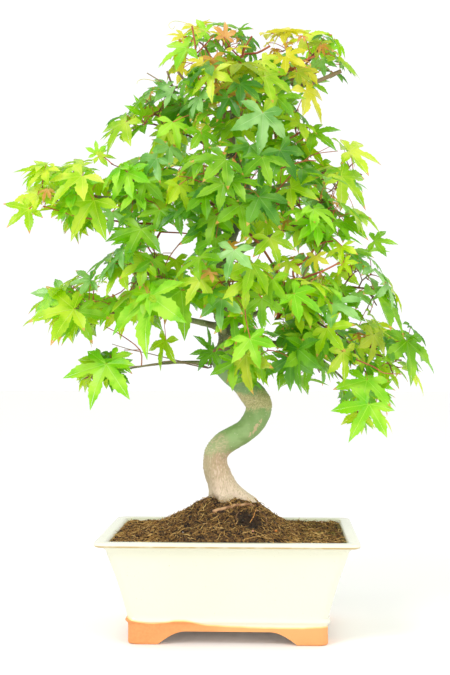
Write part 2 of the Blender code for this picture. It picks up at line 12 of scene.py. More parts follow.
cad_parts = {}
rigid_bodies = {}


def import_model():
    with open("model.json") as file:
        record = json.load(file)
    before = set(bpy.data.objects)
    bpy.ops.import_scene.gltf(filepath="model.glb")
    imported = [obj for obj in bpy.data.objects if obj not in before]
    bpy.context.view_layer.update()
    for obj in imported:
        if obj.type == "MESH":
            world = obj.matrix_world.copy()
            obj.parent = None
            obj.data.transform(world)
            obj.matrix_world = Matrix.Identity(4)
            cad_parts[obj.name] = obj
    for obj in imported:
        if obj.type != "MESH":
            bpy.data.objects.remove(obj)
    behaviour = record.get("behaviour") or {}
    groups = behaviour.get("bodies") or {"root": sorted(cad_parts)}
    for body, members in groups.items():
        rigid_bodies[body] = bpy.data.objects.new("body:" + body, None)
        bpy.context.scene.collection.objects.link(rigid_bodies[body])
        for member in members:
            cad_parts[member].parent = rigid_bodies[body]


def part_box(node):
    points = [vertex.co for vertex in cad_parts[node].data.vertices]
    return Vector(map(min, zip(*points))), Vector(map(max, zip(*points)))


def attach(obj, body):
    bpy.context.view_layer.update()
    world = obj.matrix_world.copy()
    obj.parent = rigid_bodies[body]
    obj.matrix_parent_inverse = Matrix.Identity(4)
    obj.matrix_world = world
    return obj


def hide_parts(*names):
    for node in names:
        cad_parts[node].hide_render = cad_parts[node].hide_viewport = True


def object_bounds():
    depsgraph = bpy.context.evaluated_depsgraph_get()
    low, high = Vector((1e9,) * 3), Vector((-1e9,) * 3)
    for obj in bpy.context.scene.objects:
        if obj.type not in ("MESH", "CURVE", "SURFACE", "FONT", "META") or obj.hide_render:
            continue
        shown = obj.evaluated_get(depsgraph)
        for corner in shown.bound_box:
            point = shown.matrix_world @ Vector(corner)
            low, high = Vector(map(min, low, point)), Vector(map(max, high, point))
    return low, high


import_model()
cad_low, cad_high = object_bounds()


# Camera: a long lens level with the foot of the crown, looking straight at the tree's
# front. The photograph's frame sits a little above the lens's axis.

PHOTO_SIZE = (450, 675)
CAMERA_PLACE = Vector((0.0485, -1.2875, 0.2965))
CAMERA_TURN = math.radians(2.4)
AHEAD = Vector((-math.sin(CAMERA_TURN), math.cos(CAMERA_TURN), 0))
RIGHT = Vector((math.cos(CAMERA_TURN), math.sin(CAMERA_TURN), 0))
FOCAL_PIXELS = 1199.0
SENSOR = 36.0
HORIZON_ROW = 352.9

camera_data = bpy.data.cameras.new("camera")
camera_data.sensor_width = SENSOR
camera_data.lens = FOCAL_PIXELS / PHOTO_SIZE[1] * SENSOR
camera_data.shift_y = (HORIZON_ROW - PHOTO_SIZE[1] / 2) / PHOTO_SIZE[1]
camera = bpy.data.objects.new("camera", camera_data)
camera.location = CAMERA_PLACE
camera.rotation_euler = (math.radians(90), 0, CAMERA_TURN)
bpy.context.collection.objects.link(camera)
bpy.context.scene.camera = camera


def from_photo(column, row, depth):
    """The point that a pixel of the photograph shows, on the upright plane y = depth."""
    ray = AHEAD + RIGHT * (column - PHOTO_SIZE[0] / 2) / FOCAL_PIXELS
    ray.z = (HORIZON_ROW - row) / FOCAL_PIXELS
    return CAMERA_PLACE + ray * (depth - CAMERA_PLACE.y) / ray.y


# Pot: a moulded stoneware tray under a cream glaze, which covers the walls and the lip.
# It stands on four bracket feet of bare clay, where the glaze was wiped back to an
# uneven line before the firing.

pot_low, pot_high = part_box("pot")
POT_WIDTH = pot_high.x - pot_low.x
POT_DEPTH = pot_high.y - pot_low.y
POT_HEIGHT = pot_high.z
CORNER_RADIUS = 0.009
CORNER_STEPS = 8
LONG_STEPS = 52
SHORT_STEPS = 38
DEPTH_TAPER = 0.81
LIP_WIDTH = 0.011
LIP_THICKNESS = 0.0045
NECK_INSET = 0.0115
NECK_HEIGHT = 0.093
BASE_INSET = 0.0308
BASE_HEIGHT = 0.0265
WALL_HOLLOW = 0.0012
WALL = 0.0075
WALL_STEPS = 24
FLOOR_HEIGHT = 0.024
LEDGE = 0.0022
FOOT_WALL = 0.011
FOOT_EDGE = 0.0016
UNDERSIDE = 0.0155
ARCH_HEIGHT = 0.0135
ARCH_LONG = (0.0715, 0.0425)
ARCH_SHORT = (0.047, 0.024)
ARCH_STEPS = 18
DRAIN_RADIUS = 0.007
DRAIN_SPACING = 0.100
DRAIN_SIDES = 32
CUT_MARGIN = 0.005
# The wall waves a little where it was pressed by hand, between the feet and the lip.
HAND_WAVE = 0.00022
WAVE_SCALE = 14
WAVE_LEAN = 0.6
WAVE_FOOT = (0.001, 0.012)
WAVE_LIP = (0.098, 0.106)
CREASE_ANGLE = math.radians(38)
# A curve node holds heights up to 1, so the glaze's are enlarged in it.
GLAZE_SCALE = 20
GLAZE_REACH = 0.105
# Where the glaze stops: how far along the pot, and how high. The ends come first.
GLAZE_LINE = (
    (-GLAZE_REACH, 0.0270), (GLAZE_REACH, 0.0182), (-0.095, 0.0235), (-0.087, 0.0218),
    (-0.066, 0.0216), (-0.050, 0.0242), (-0.024, 0.0201), (0.003, 0.0181), (0.024, 0.0174),
    (0.063, 0.0171),
)


def mix(a, b, share):
    return a + (b - a) * share


def ease(value, low, high):
    """0 below low, 1 above high, and smooth between them."""
    share = min(max((value - low) / (high - low), 0.0), 1.0)
    return share * share * (3 - 2 * share)


def around(count):
    """Angles spaced evenly round a circle."""
    return [2 * math.pi * k / count for k in range(count)]


def pot_ring(inset, height):
    """A rounded rectangle set in from the lip's edge, with close points all round."""
    half_x = POT_WIDTH / 2 - inset
    half_y = POT_DEPTH / 2 - inset * DEPTH_TAPER
    cx, cy = half_x - CORNER_RADIUS, half_y - CORNER_RADIUS
    ring = []
    for quarter, (sx, sy) in enumerate(((1, 1), (-1, 1), (-1, -1), (1, -1))):
        for k in range(CORNER_STEPS + 1):
            angle = math.radians(90 * (quarter + k / CORNER_STEPS))
            arc = Vector((math.cos(angle), math.sin(angle), 0)) * CORNER_RADIUS
            ring.append(Vector((sx * cx, sy * cy, height)) + arc)
        if quarter % 2 == 0:
            end, steps = Vector((-sx * cx, sy * half_y, height)), LONG_STEPS
        else:
            end, steps = Vector((sx * half_x, -sy * cy, height)), SHORT_STEPS
        start = ring[-1]
        ring += [start.lerp(end, k / steps) for k in range(1, steps)]
    return ring


def wall_inset(height):
    share = (height - BASE_HEIGHT) / (NECK_HEIGHT - BASE_HEIGHT)
    return mix(BASE_INSET, NECK_INSET, share) + WALL_HOLLOW * math.sin(math.pi * share)


def inner_profile():
    """Insets and heights of the inner wall, from the lip down to the floor."""
    profile = [(LIP_WIDTH, POT_HEIGHT - 0.0008), (LIP_WIDTH + 0.0012, POT_HEIGHT - 0.0030)]
    for k in range(7):
        height = mix(NECK_HEIGHT, FLOOR_HEIGHT, 0.85 * k / 6)
        profile.append((wall_inset(max(height, BASE_HEIGHT)) + WALL, height))
    return profile + [(BASE_INSET + WALL + 0.009, FLOOR_HEIGHT)]


def outer_profile():
    """Insets and heights from under the pot, round the foot, up the wall to the lip."""
    foot = BASE_INSET + 0.0004
    inside = foot + FOOT_WALL
    profile = [(inside, UNDERSIDE), (inside, 0.0015), (inside - 0.0012, 0.0)]
    profile += [(foot + FOOT_EDGE, 0.0), (foot + 0.0004, 0.0005), (foot, FOOT_EDGE)]
    profile += [(foot, mix(FOOT_EDGE, BASE_HEIGHT - 0.0065, k / 8)) for k in range(1, 9)]
    for k in range(7):
        reach = BASE_INSET - LEDGE * (0.35 + 0.65 * math.sin(math.pi * k / 6) ** 0.8)
        profile.append((reach, BASE_HEIGHT - 0.0045 + 0.0040 * k / 6))
    for k in range(WALL_STEPS + 1):
        height = mix(BASE_HEIGHT + 0.0006, NECK_HEIGHT, k / WALL_STEPS)
        profile.append((wall_inset(height), height))
    under_lip, top = POT_HEIGHT - LIP_THICKNESS, POT_HEIGHT
    for k in range(1, 7):
        turn = math.pi / 2 * k / 6
        inset = NECK_INSET * (0.16 + 0.84 * math.cos(turn))
        profile.append((inset, mix(NECK_HEIGHT, under_lip - 0.0010, math.sin(turn))))
    profile += [(0.0006, under_lip - 0.0004), (0.0, under_lip + 0.0008), (0.0, top - 0.0016)]
    profile += [(0.0004, top - 0.0005), (0.0014, top), (LIP_WIDTH / 2, top - 0.0002)]
    return profile + [(LIP_WIDTH - 0.0012, top - 0.0001)]


def loft(rings):
    """Skins a list of rings of equal length, wound anticlockwise, and closes both ends."""
    count = len(rings[0])
    points = [point for ring in rings for point in ring]
    faces = [tuple(reversed(range(count)))]
    for low in range(0, len(points) - count, count):
        for j in range(count):
            n = (j + 1) % count
            faces.append((low + j, low + n, low + count + n, low + count + j))
    faces.append(tuple(range(len(points) - count, len(points))))
    return points, faces


def add_object(name, mesh):
    piece = bpy.data.objects.new(name, mesh)
    bpy.context.collection.objects.link(piece)
    return piece


def add_piece(name, shape, material, smooth=True):
    points, faces = shape
    mesh = bpy.data.meshes.new(name)
    mesh.from_pydata([tuple(p) for p in points], [], faces)
    if material:
        mesh.materials.append(material)
    if smooth:
        mesh.shade_smooth()
    return add_object(name, mesh)


def seat(piece, slot, *nodes):
    """Rides the piece on the one body and lets it stand for the named solids."""
    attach(piece, "root")
    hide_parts(*nodes)


def drop(piece):
    mesh = piece.data
    bpy.data.objects.remove(piece, do_unlink=True)
    bpy.data.meshes.remove(mesh)


def bake_modifiers(piece):
    """Keeps the shape that the modifiers give as the piece's own mesh."""
    graph = bpy.context.evaluated_depsgraph_get()
    result = bpy.data.meshes.new_from_object(piece.evaluated_get(graph))
    piece.modifiers.clear()
    old, piece.data = piece.data, result
    result.name = piece.name
    bpy.data.meshes.remove(old)


def arch_cutter(ground, top, along_x):
    """A prism whose section is the arch between two feet, hollowed like a cove."""
    section = [(ground, -0.002)]
    for k in range(ARCH_STEPS + 1):
        share = k / ARCH_STEPS
        section.append((mix(ground, top, share), ARCH_HEIGHT * math.sin(share * math.pi / 2)))
    section += [(-a, z) for a, z in reversed(section)]
    rings = []
    for end in (-POT_WIDTH / 2, POT_WIDTH / 2):
        spots = [(end, -a, z) if along_x else (a, end, z) for a, z in reversed(section)]
        rings.append([Vector(spot) for spot in spots])
    return loft(rings)


def drain_cutter(x):
    ways = [Vector((math.cos(a), math.sin(a), 0)) for a in around(DRAIN_SIDES)]
    rings = []
    for height in (UNDERSIDE - CUT_MARGIN, FLOOR_HEIGHT + CUT_MARGIN):
        rings.append([Vector((x, 0, height)) + way * DRAIN_RADIUS for way in ways])
    return loft(rings)


def make_pot():
    rings = []
    for inset, height in outer_profile():
        ring = pot_ring(inset, height)
        share = ease(height, *WAVE_FOOT) * (1 - ease(height, *WAVE_LIP))
        for point in ring:
            wave = noise.noise(point * WAVE_SCALE) - WAVE_LEAN
            point.xy += point.to_2d().normalized() * wave * HAND_WAVE * share
        rings.append(ring)
    rings += [pot_ring(inset, height) for inset, height in inner_profile()]
    pot = add_piece("glazed_pot", loft(rings), None)
    cuts = [arch_cutter(*ARCH_LONG, along_x=False), arch_cutter(*ARCH_SHORT, along_x=True)]
    cuts += [drain_cutter(-DRAIN_SPACING / 2), drain_cutter(DRAIN_SPACING / 2)]
    cutters = [add_piece(f"cut_{k}", shape, None) for k, shape in enumerate(cuts)]
    for cutter in cutters:
        cut = pot.modifiers.new(cutter.name, "BOOLEAN")
        cut.operation = "DIFFERENCE"
        cut.object = cutter
    bake_modifiers(pot)
    for cutter in cutters:
        drop(cutter)
    pot.data.shade_smooth()
    pot.data.set_sharp_from_angle(angle=CREASE_ANGLE)
    return pot


def paint(red, green, blue):
    """A colour as the photograph shows it, turned into the shader's linear numbers."""
    shown = [value / 255 for value in (red, green, blue)]
    linear = [v / 12.92 if v <= 0.04045 else ((v + 0.055) / 1.055) ** 2.4 for v in shown]
    return (*linear, 1.0)


class Field:
    """A value or colour that varies over a piece, and adds and multiplies like a number."""

    def __init__(self, tree, socket):
        self.tree, self.socket = tree, socket

    def reckon(self, operation, *terms):
        node = add(self.tree, "ShaderNodeMath", dict(enumerate(terms)), operation=operation)
        return Field(self.tree, node.outputs[0])

    def __add__(self, other):
        return self.reckon("ADD", self, other)

    def __sub__(self, other):
        return self.reckon("SUBTRACT", self, other)

    def __rsub__(self, other):
        return self.reckon("SUBTRACT", other, self)

    def __mul__(self, other):
        return self.reckon("MULTIPLY", self, other)

    def __pow__(self, other):
        return self.reckon("POWER", self, other)

    def __abs__(self):
        return self.reckon("ABSOLUTE", self)

    def to_and_fro(self, width):
        """The value folded over and over, so that it runs from 0 to a width and back."""
        return self.reckon("PINGPONG", self, width)

    def step(self, low, high):
        """0 below low, 1 above high, and smooth between them; high may be the lower one."""
        feeds = {"Value": self, "From Min": low, "From Max": high}
        node = add(self.tree, "ShaderNodeMapRange", feeds, interpolation_type="SMOOTHSTEP")
        return Field(self.tree, node.outputs[0])

    def near(self, level, inner, outer):
        """1 within inner of a level, 0 beyond outer."""
        return 1 - abs(self - level).step(inner, outer)


def add(tree, kind, feeds=None, **settings):
    """Adds a node. Each feed is a plain value, or a field or a node's output to link."""
    node = tree.nodes.new(kind)
    for key, value in settings.items():
        setattr(node, key, value)
    for key, value in (feeds or {}).items():
        if isinstance(value, Field):
            value = value.socket
        if isinstance(value, bpy.types.NodeSocket):
            tree.links.new(value, node.inputs[key])
        else:
            node.inputs[key].default_value = value
    return node


class Finish:
    """A material in the making, with the fields that its colours are worked out from."""

    def __init__(self, name, roughness):
        self.material = bpy.data.materials.new(name)
        self.material.use_nodes = True
        self.tree = self.material.node_tree
        self.shader = self.tree.nodes["Principled BSDF"]
        self.shader.inputs["Roughness"].default_value = roughness
        self.place = self.field("ShaderNodeTexCoord", "Object")

    def field(self, kind, output, feeds=None, **settings):
        return Field(self.tree, add(self.tree, kind, feeds, **settings).outputs[output])

    def axes(self, place=None):
        node = add(self.tree, "ShaderNodeSeparateXYZ", {0: place or self.place})
        return [Field(self.tree, output) for output in node.outputs]

    def grain(self, scale, detail=3.0, stretch=(1, 1, 1)):
        """A noise over the piece's own coordinates."""
        mapping = self.field("ShaderNodeMapping", 0, {"Vector": self.place, "Scale": stretch})
        feeds = {"Vector": mapping, "Scale": scale, "Detail": detail}
        return self.field("ShaderNodeTexNoise", "Fac", feeds)

    def over(self, share, below, above):
        """One colour laid over another by a share; a plain colour is one to paint."""
        shades = [paint(*shade) if isinstance(shade, tuple) else shade for shade in (below, above)]
        feeds = {0: share, 6: shades[0], 7: shades[1]}
        return self.field("ShaderNodeMix", 2, feeds, data_type="RGBA")

    def give(self, label, field):
        self.tree.links.new(field.socket, self.shader.inputs[label])

    def bump(self, height, distance, strength=1.0):
        feeds = {"Height": height, "Distance": distance, "Strength": strength}
        self.give("Normal", self.field("ShaderNodeBump", 0, feeds))


def glaze_line(finish, along):
    """The height that the glaze stops at, drawn by hand along the pot."""
    feeds = {"Value": along, "From Min": -GLAZE_REACH, "From Max": GLAZE_REACH}
    share = finish.field("ShaderNodeMapRange", 0, feeds)
    line = add(finish.tree, "ShaderNodeFloatCurve", {"Value": share})
    points = line.mapping.curves[0].points
    for k, (place, height) in enumerate(GLAZE_LINE):
        spot = ((place + GLAZE_REACH) / (2 * GLAZE_REACH), height * GLAZE_SCALE)
        if k < 2:
            points[k].location = spot
        else:
            points.new(*spot)
    line.mapping.update()
    return Field(finish.tree, line.outputs[0]) * (1 / GLAZE_SCALE)


def pot_finish():
    glazed = Finish("cream_glaze_on_clay", 0.2)
    x, y, z = glazed.axes()
    cloud = glazed.grain(9.0, 2.0)
    glaze = glazed.over(cloud, (228, 227, 204), (236, 235, 217))
    dirt = glazed.grain(700.0, 1.0).step(0.755, 0.80)
    glaze = glazed.over(dirt * 0.5, glaze, (140, 125, 92))

    clay_grain = glazed.grain(420.0, 4.0)
    clay = glazed.over(clay_grain, (220, 136, 76), (238, 166, 102))
    clay = glazed.over(cloud.step(0.45, 0.62), clay, (240, 168, 104))
    # The underside and the inside of the foot band are painted near white: painted light that
    # lifts the shade under the arches.
    painted_light_underneath = (POT_WIDTH / 2 - BASE_INSET - abs(x)).step(0.003, 0.009)
    painted_light_underneath *= (POT_DEPTH / 2 - BASE_INSET * DEPTH_TAPER - abs(y)).step(0.003, 0.009)
    clay = glazed.over(painted_light_underneath * 0.85, clay, (250, 244, 240))

    wave = glazed.grain(60.0, 1.0, (1, 1, 0)) * 0.0016 - 0.0008
    above = z - (glaze_line(glazed, x) + wave)
    covered, thick = above.step(-0.0002, 0.0003), above.step(0.0003, 0.0026)
    colour = glazed.over(covered, clay, glazed.over(thick, (250, 214, 136), glaze))

    worn = z.near(POT_HEIGHT - LIP_THICKNESS + 0.0002, 0.0004, 0.0013)
    worn *= glazed.grain(60.0).step(0.30, 0.55) * 0.4 + 0.55
    glazed.give("Base Color", glazed.over(worn, colour, (190, 160, 96)))

    clay_rough = clay_grain * 0.2 + 0.62
    glaze_rough = cloud * 0.10 + 0.12
    glazed.give("Roughness", covered * (glaze_rough - clay_rough) + clay_rough)
    glazed.bump(glazed.grain(45.0, 1.0) * 0.5 + (thick * 1.2 + clay_grain * 0.6), 0.0003, 0.7)
    return glazed.material


pot = make_pot()
pot.data.materials.clear()
pot.data.materials.append(pot_finish())
seat(pot, "pot", "pot")


# Soil: peat and bark crumbs, firmed level against the wall and mounded up to the trunk,
# with moss starting on its right.

SOIL_EDGE = 0.1035
SOIL_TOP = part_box("soil")[1].z
SOIL_PLATEAU = 0.031
MOUND_REACH = 0.105
MOUND_SQUEEZE = 0.72
SOIL_RINGS = 84
SOIL_COLLAR = 0.0050
SOIL_CENTRE = Vector((0.003, 0, 0))
SOIL_CROWDING = 0.92
WALL_GAP = 0.0004
# A hollow that watering has washed out in front of the roots
HOLLOW = Vector((0.020, -0.052, 0))
HOLLOW_DEPTH = 0.0045
HOLLOW_RADIUS = 0.010


def soil_height(x, y):
    """The mound with its lumps, which crumble finer the closer one looks."""
    away_x, away_y = x - SOIL_CENTRE.x, y - SOIL_CENTRE.y
    if away_x > 0:
        away_x /= MOUND_SQUEEZE
    away = math.hypot(away_x, away_y) - SOIL_PLATEAU
    share = min(max(away / (MOUND_REACH - SOIL_PLATEAU), 0.0), 1.0)
    slope = (1 - share) * (1 - 0.35 * math.sin(math.pi * share) * share)
    place = Vector((x, y, 0))
    lumps = 0.0018 * noise.noise(place * 60)
    clods = 0.0019 * noise.noise(place * 190 + Vector((7, 0, 0)))
    crumbs = 0.0011 * noise.noise(place * 520 + Vector((0, 9, 0)))
    crumbs -= HOLLOW_DEPTH * math.exp(-((place - HOLLOW).length / HOLLOW_RADIUS) ** 2)
    collar = SOIL_COLLAR * math.exp(-max(away + 0.008, 0.0) / 0.010)
    collar *= 0.55 + 0.9 * noise.noise(place * 45 + Vector((3, 3, 0)))
    pressed = ease(share, 0.0, 0.2) * 0.6 + 0.4
    return mix(SOIL_EDGE, SOIL_TOP, slope) + (lumps + clods) * pressed + crumbs + max(collar, 0)


def make_soil():
    walls = [(i + WALL_GAP, z) for i, z in inner_profile() if z < SOIL_EDGE]
    rings = [pot_ring(i, max(z, FLOOR_HEIGHT) + 0.0003) for i, z in reversed(walls)]
    lip_inset, lip_height = inner_profile()[1]
    share = (SOIL_EDGE - walls[0][1]) / (lip_height - walls[0][1])
    edge = pot_ring(mix(walls[0][0], lip_inset + WALL_GAP, share), SOIL_EDGE)
    for k in range(SOIL_RINGS):
        share = (k / SOIL_RINGS) ** SOIL_CROWDING
        spots = [corner.lerp(SOIL_CENTRE, share * 0.93) for corner in edge]
        rings.append([Vector((s.x, s.y, soil_height(s.x, s.y))) for s in spots])
    return loft(rings)


def soil_finish():
    peat = Finish("peat_soil", 0.95)
    x, y, _ = peat.axes()
    coarse, fine = peat.grain(55.0, 4.0), peat.grain(420.0, 5.0)
    colour = peat.over(coarse, (44, 26, 12), (122, 88, 44))
    colour = peat.over(fine.step(0.54, 0.70), colour, (158, 120, 64))
    colour = peat.over(fine.step(0.50, 0.38), colour, (34, 20, 10))
    dry = abs(x).step(0.030, 0.095) * coarse.step(0.36, 0.62)
    colour = peat.over(dry * 0.8, colour, (204, 158, 84))
    mossy = (x.step(0.035, 0.100) * coarse).step(0.30, 0.50)
    colour = peat.over(mossy, colour, (104, 90, 24))
    # The soil in and round the washed-out hollow is painted near black: painted shade in the
    # recess.
    away = ((x - HOLLOW.x) ** 2 + (y - HOLLOW.y) ** 2) ** 0.5
    painted_hollow_shade = away.step(HOLLOW_RADIUS * 2.2, HOLLOW_RADIUS * 0.9)
    peat.give("Base Color", peat.over(painted_hollow_shade * 0.85, colour, (34, 20, 10)))
    peat.bump(fine + coarse, 0.0012)
    return peat.material


soil = add_piece("soil_mound", make_soil(), soil_finish())
seat(soil, "soil", "soil")


# Litter on the soil: coir fibres, straw, crumbs of bark and tufts of moss that lie on the
# mound as they fell.

# Each kind: shape, how many, size, seed, leftmost place, and its dark and light side
LITTER = (
    ("coir_fibres", "fibre", 1500, 0.0085, 11, -1, (102, 68, 28), (166, 124, 62)),
    ("straw_bits", "fibre", 760, 0.0090, 12, -1, (186, 144, 76), (224, 186, 116)),
    ("dark_crumbs", "crumb", 2300, 0.0021, 13, -1, (30, 17, 7), (60, 38, 17)),
    ("bark_crumbs", "crumb", 1300, 0.0021, 14, -1, (98, 66, 30), (138, 100, 52)),
    ("moss_tufts", "fibre", 900, 0.0045, 15, 0.045, (92, 82, 20), (134, 120, 40)),
)
BED_SHARE = 0.65
BED_MARGIN = 0.0045
BED_LIFT = 0.0004
BED_COLUMNS = 56
BED_ROWS = 42
FOOT_CLEARANCE = 0.020
LITTER_TILT = 0.35
LITTER_GROWTH = (0.45, 1.5)


def fibre_shape(seed):
    """A thin bent strand one unit long, of three sides."""
    rng = random.Random(seed)
    rings = []
    path = [(-0.5 + k / 4, rng.uniform(-0.10, 0.10), rng.uniform(0.0, 0.16)) for k in range(5)]
    for k, spot in enumerate(path):
        girth = 0.016 + 0.012 * math.sin(math.pi * k / 4)
        ways = [Vector((0, math.cos(a), math.sin(a))) for a in around(3)]
        rings.append([Vector(spot) + way * girth for way in ways])
    return loft(rings)


def crumb_shape(seed):
    """A lump of six sides and three tiers."""
    rng = random.Random(seed)
    rings = []
    for tier, radius in ((-0.35, 0.28), (-0.05, 0.52), (0.3, 0.34)):
        reaches = [(angle, radius * rng.uniform(0.7, 1.15)) for angle in around(6)]
        rings.append([Vector((math.cos(a) * r, math.sin(a) * r, tier)) for a, r in reaches])
    return loft(rings)


# Each kind of shape, and how many different ones lie about
LITTER_SHAPES = {"fibre": (fibre_shape, 6), "crumb": (crumb_shape, 5)}


def template_group(name, pieces):
    """Puts small shapes in a collection, for Geometry Nodes to pick from."""
    group = bpy.data.collections.new(name)
    bpy.context.scene.collection.children.link(group)
    for piece in pieces:
        bpy.context.collection.objects.unlink(piece)
        group.objects.link(piece)
    return group


def drop_group(group):
    for piece in list(group.objects):
        drop(piece)
    bpy.data.collections.remove(group)


def nodes_group(name, **inputs):
    """An empty Geometry Nodes tree with named inputs, and each one's output by name."""
    tree = bpy.data.node_groups.new(name, "GeometryNodeTree")
    tree.interface.new_socket("geometry", in_out="OUTPUT", socket_type="NodeSocketGeometry")
    for label, kind in {"geometry": "Geometry", **inputs}.items():
        tree.interface.new_socket(label, in_out="INPUT", socket_type=f"NodeSocket{kind}")
    return tree, tree.nodes.new("NodeGroupInput").outputs


def pick_and_place(tree, group, points, turn, size, pick=None):
    """A shape from the group on each point, as real faces."""
    feeds = {"Collection": group, "Separate Children": True, "Reset Children": True}
    shapes = add(tree, "GeometryNodeCollectionInfo", feeds).outputs[0]
    feeds = {"Points": points, "Instance": shapes, "Pick Instance": True}
    feeds |= {"Rotation": turn, "Scale": size}
    if pick:
        feeds["Instance Index"] = pick
    placed = add(tree, "GeometryNodeInstanceOnPoints", feeds).outputs[0]
    return add(tree, "GeometryNodeRealizeInstances", {0: placed}).outputs[0]


def dress(tree, geometry, material, where=True):
    feeds = {"Geometry": geometry, "Material": material, "Selection": where}
    return add(tree, "GeometryNodeSetMaterial", feeds).outputs[0]


def smoothed(tree, geometry):
    feeds = {0: geometry, "Shade Smooth": True}
    return add(tree, "GeometryNodeSetShadeSmooth", feeds).outputs[0]


def end_tree(tree, geometry):
    tree.links.new(geometry, tree.nodes.new("NodeGroupOutput").inputs[0])
    return tree


def grow_with(piece, tree, **values):
    """Runs a tree on a piece, with its inputs given by name, and keeps the mesh."""
    modifier = piece.modifiers.new(tree.name, "NODES")
    modifier.node_group = tree
    for item in tree.interface.items_tree:
        if item.in_out == "INPUT" and item.name in values:
            modifier[item.identifier] = values[item.name]
    bake_modifiers(piece)


def litter_tree():
    """Strews shapes over a surface, each one tilted, turned and sized at random."""
    kinds = {"shapes": "Collection", "density": "Float", "size": "Float", "seed": "Int"}
    tree, source = nodes_group("litter", **kinds, finish="Material")
    seed = source["seed"]
    feeds = {"Mesh": source["geometry"], "Density": source["density"], "Seed": seed}
    points = add(tree, "GeometryNodeDistributePointsOnFaces", feeds).outputs
    least, most = (-LITTER_TILT, -LITTER_TILT, 0.0), (LITTER_TILT, LITTER_TILT, 2 * math.pi)
    feeds = {0: least, 1: most, "Seed": seed}
    spin = add(tree, "FunctionNodeRandomValue", feeds, data_type="FLOAT_VECTOR").outputs[0]
    spin = add(tree, "FunctionNodeEulerToRotation", {0: spin}).outputs[0]
    feeds = {0: points["Rotation"], 1: spin}
    turn = add(tree, "FunctionNodeRotateRotation", feeds, rotation_space="LOCAL").outputs[0]
    feeds = {2: LITTER_GROWTH[0], 3: LITTER_GROWTH[1], "Seed": seed}
    grown = add(tree, "FunctionNodeRandomValue", feeds, data_type="FLOAT").outputs[1]
    feeds = {0: grown, 1: source["size"]}
    size = add(tree, "ShaderNodeMath", feeds, operation="MULTIPLY").outputs[0]
    strewn = pick_and_place(tree, source["shapes"], points["Points"], turn, size)
    return end_tree(tree, dress(tree, strewn, source["finish"]))


def soil_bed(leftmost, into_hollow):
    """The mound's open surface, short of the wall and of the trunk's foot."""
    half_x = POT_WIDTH / 2 - LIP_WIDTH - BED_MARGIN
    half_y = POT_DEPTH / 2 - LIP_WIDTH * DEPTH_TAPER - BED_MARGIN
    points, faces = [], []
    for j in range(BED_ROWS + 1):
        for i in range(BED_COLUMNS + 1):
            x, y = mix(-half_x, half_x, i / BED_COLUMNS), mix(-half_y, half_y, j / BED_ROWS)
            points.append(Vector((x, y, soil_height(x, y) + BED_LIFT)))
            if i == BED_COLUMNS or j == BED_ROWS:
                continue
            if x <= leftmost or (points[-1] - SOIL_CENTRE).to_2d().length <= FOOT_CLEARANCE:
                continue
            if into_hollow or (points[-1] - HOLLOW).to_2d().length > HOLLOW_RADIUS * 1.3:
                a, b = len(points) - 1, len(points) + BED_COLUMNS
                faces.append((a, a + 1, b + 1, b))
    return points, faces


def speckled(name, dark, light, scale, roughness=0.9):
    """A rough natural finish that wanders between two colours."""
    rough = Finish(name, roughness)
    share = rough.grain(scale).step(0.38, 0.62)
    rough.give("Base Color", rough.over(share, dark, light))
    rough.bump(rough.grain(scale * 6, 2.0), 0.0002)
    return rough.material


groups = {}
for kind, (shape, count) in LITTER_SHAPES.items():
    shapes = [add_piece(f"{kind}_{k:02}", shape(k), None, smooth=False) for k in range(count)]
    groups[kind] = template_group(kind, shapes)
litter = litter_tree()
bed_area = POT_WIDTH * POT_DEPTH * BED_SHARE
for name, kind, count, size, seed, leftmost, dark, light in LITTER:
    # Only the dark crumbs lie in the washed-out hollow, which keeps it dark as painted shade.
    scatter = add_piece(name, soil_bed(leftmost, name == "dark_crumbs"), None)
    finish = speckled(name, dark, light, 120.0)
    values = {"density": count / bed_area, "size": size, "seed": seed, "finish": finish}
    grow_with(scatter, litter, shapes=groups[kind], **values)
    seat(scatter, "soil")
for group in groups.values():
    drop_group(group)


# Trunk: one bonsai stem that leans left, sweeps back over the pot and turns up again. Its
# bark is tan and cracked at the foot, green and smooth on the sweep, and grey above.

TRUNK_KNOTS = (
    ((0.003, 0.000, SOIL_TOP + 0.0003), 0.0165),
    ((-0.007, 0.000, 0.152), 0.0150),
    ((-0.016, -0.001, 0.179), 0.0132),
    ((-0.009, -0.003, 0.197), 0.0126),
    ((0.019, -0.002, 0.216), 0.0124),
    ((0.031, 0.001, 0.240), 0.0137),
    ((0.0145, 0.004, 0.263), 0.0127),
    ((-0.007, 0.003, 0.286), 0.0124),
    ((-0.003, 0.000, 0.314), 0.0098),
    ((-0.013, -0.004, 0.372), 0.0085),
    ((0.004, 0.002, 0.435), 0.0068),
    ((0.016, 0.006, 0.480), 0.0058),
    ((0.001, 0.004, 0.525), 0.0047),
    ((0.011, 0.002, 0.590), 0.0030),
)
TRUNK_SIDES = 64
TRUNK_STEPS = 30
FLARE = 0.0080
FLARE_HEIGHT = 0.0085
UPRIGHT_FOOT = 0.020
ROOT_LOBES = 5
ROOT_LOBE_DEPTH = 0.30
CREASE_DEPTH = 0.00035
# Heights on the trunk: where the cracks of its foot fade, the middles of both bends, the
# callus ring, and where the knobs of its upper part begin
CRACKS_FADE = (0.165, 0.215)
LEFT_BEND = 0.196
RIGHT_BEND = 0.240
RING_HEIGHT = 0.2445
KNOBS_START = (0.284, 0.304)
# The healed scrape across the front: its middle, half its length and width, and its slant
SCAR = Vector((0.0262, 0, 0.2150))
SCAR_HALF = (0.0125, 0.0024)
SCAR_SLANT = math.radians(54)
UP = Vector((0, 0, 1))


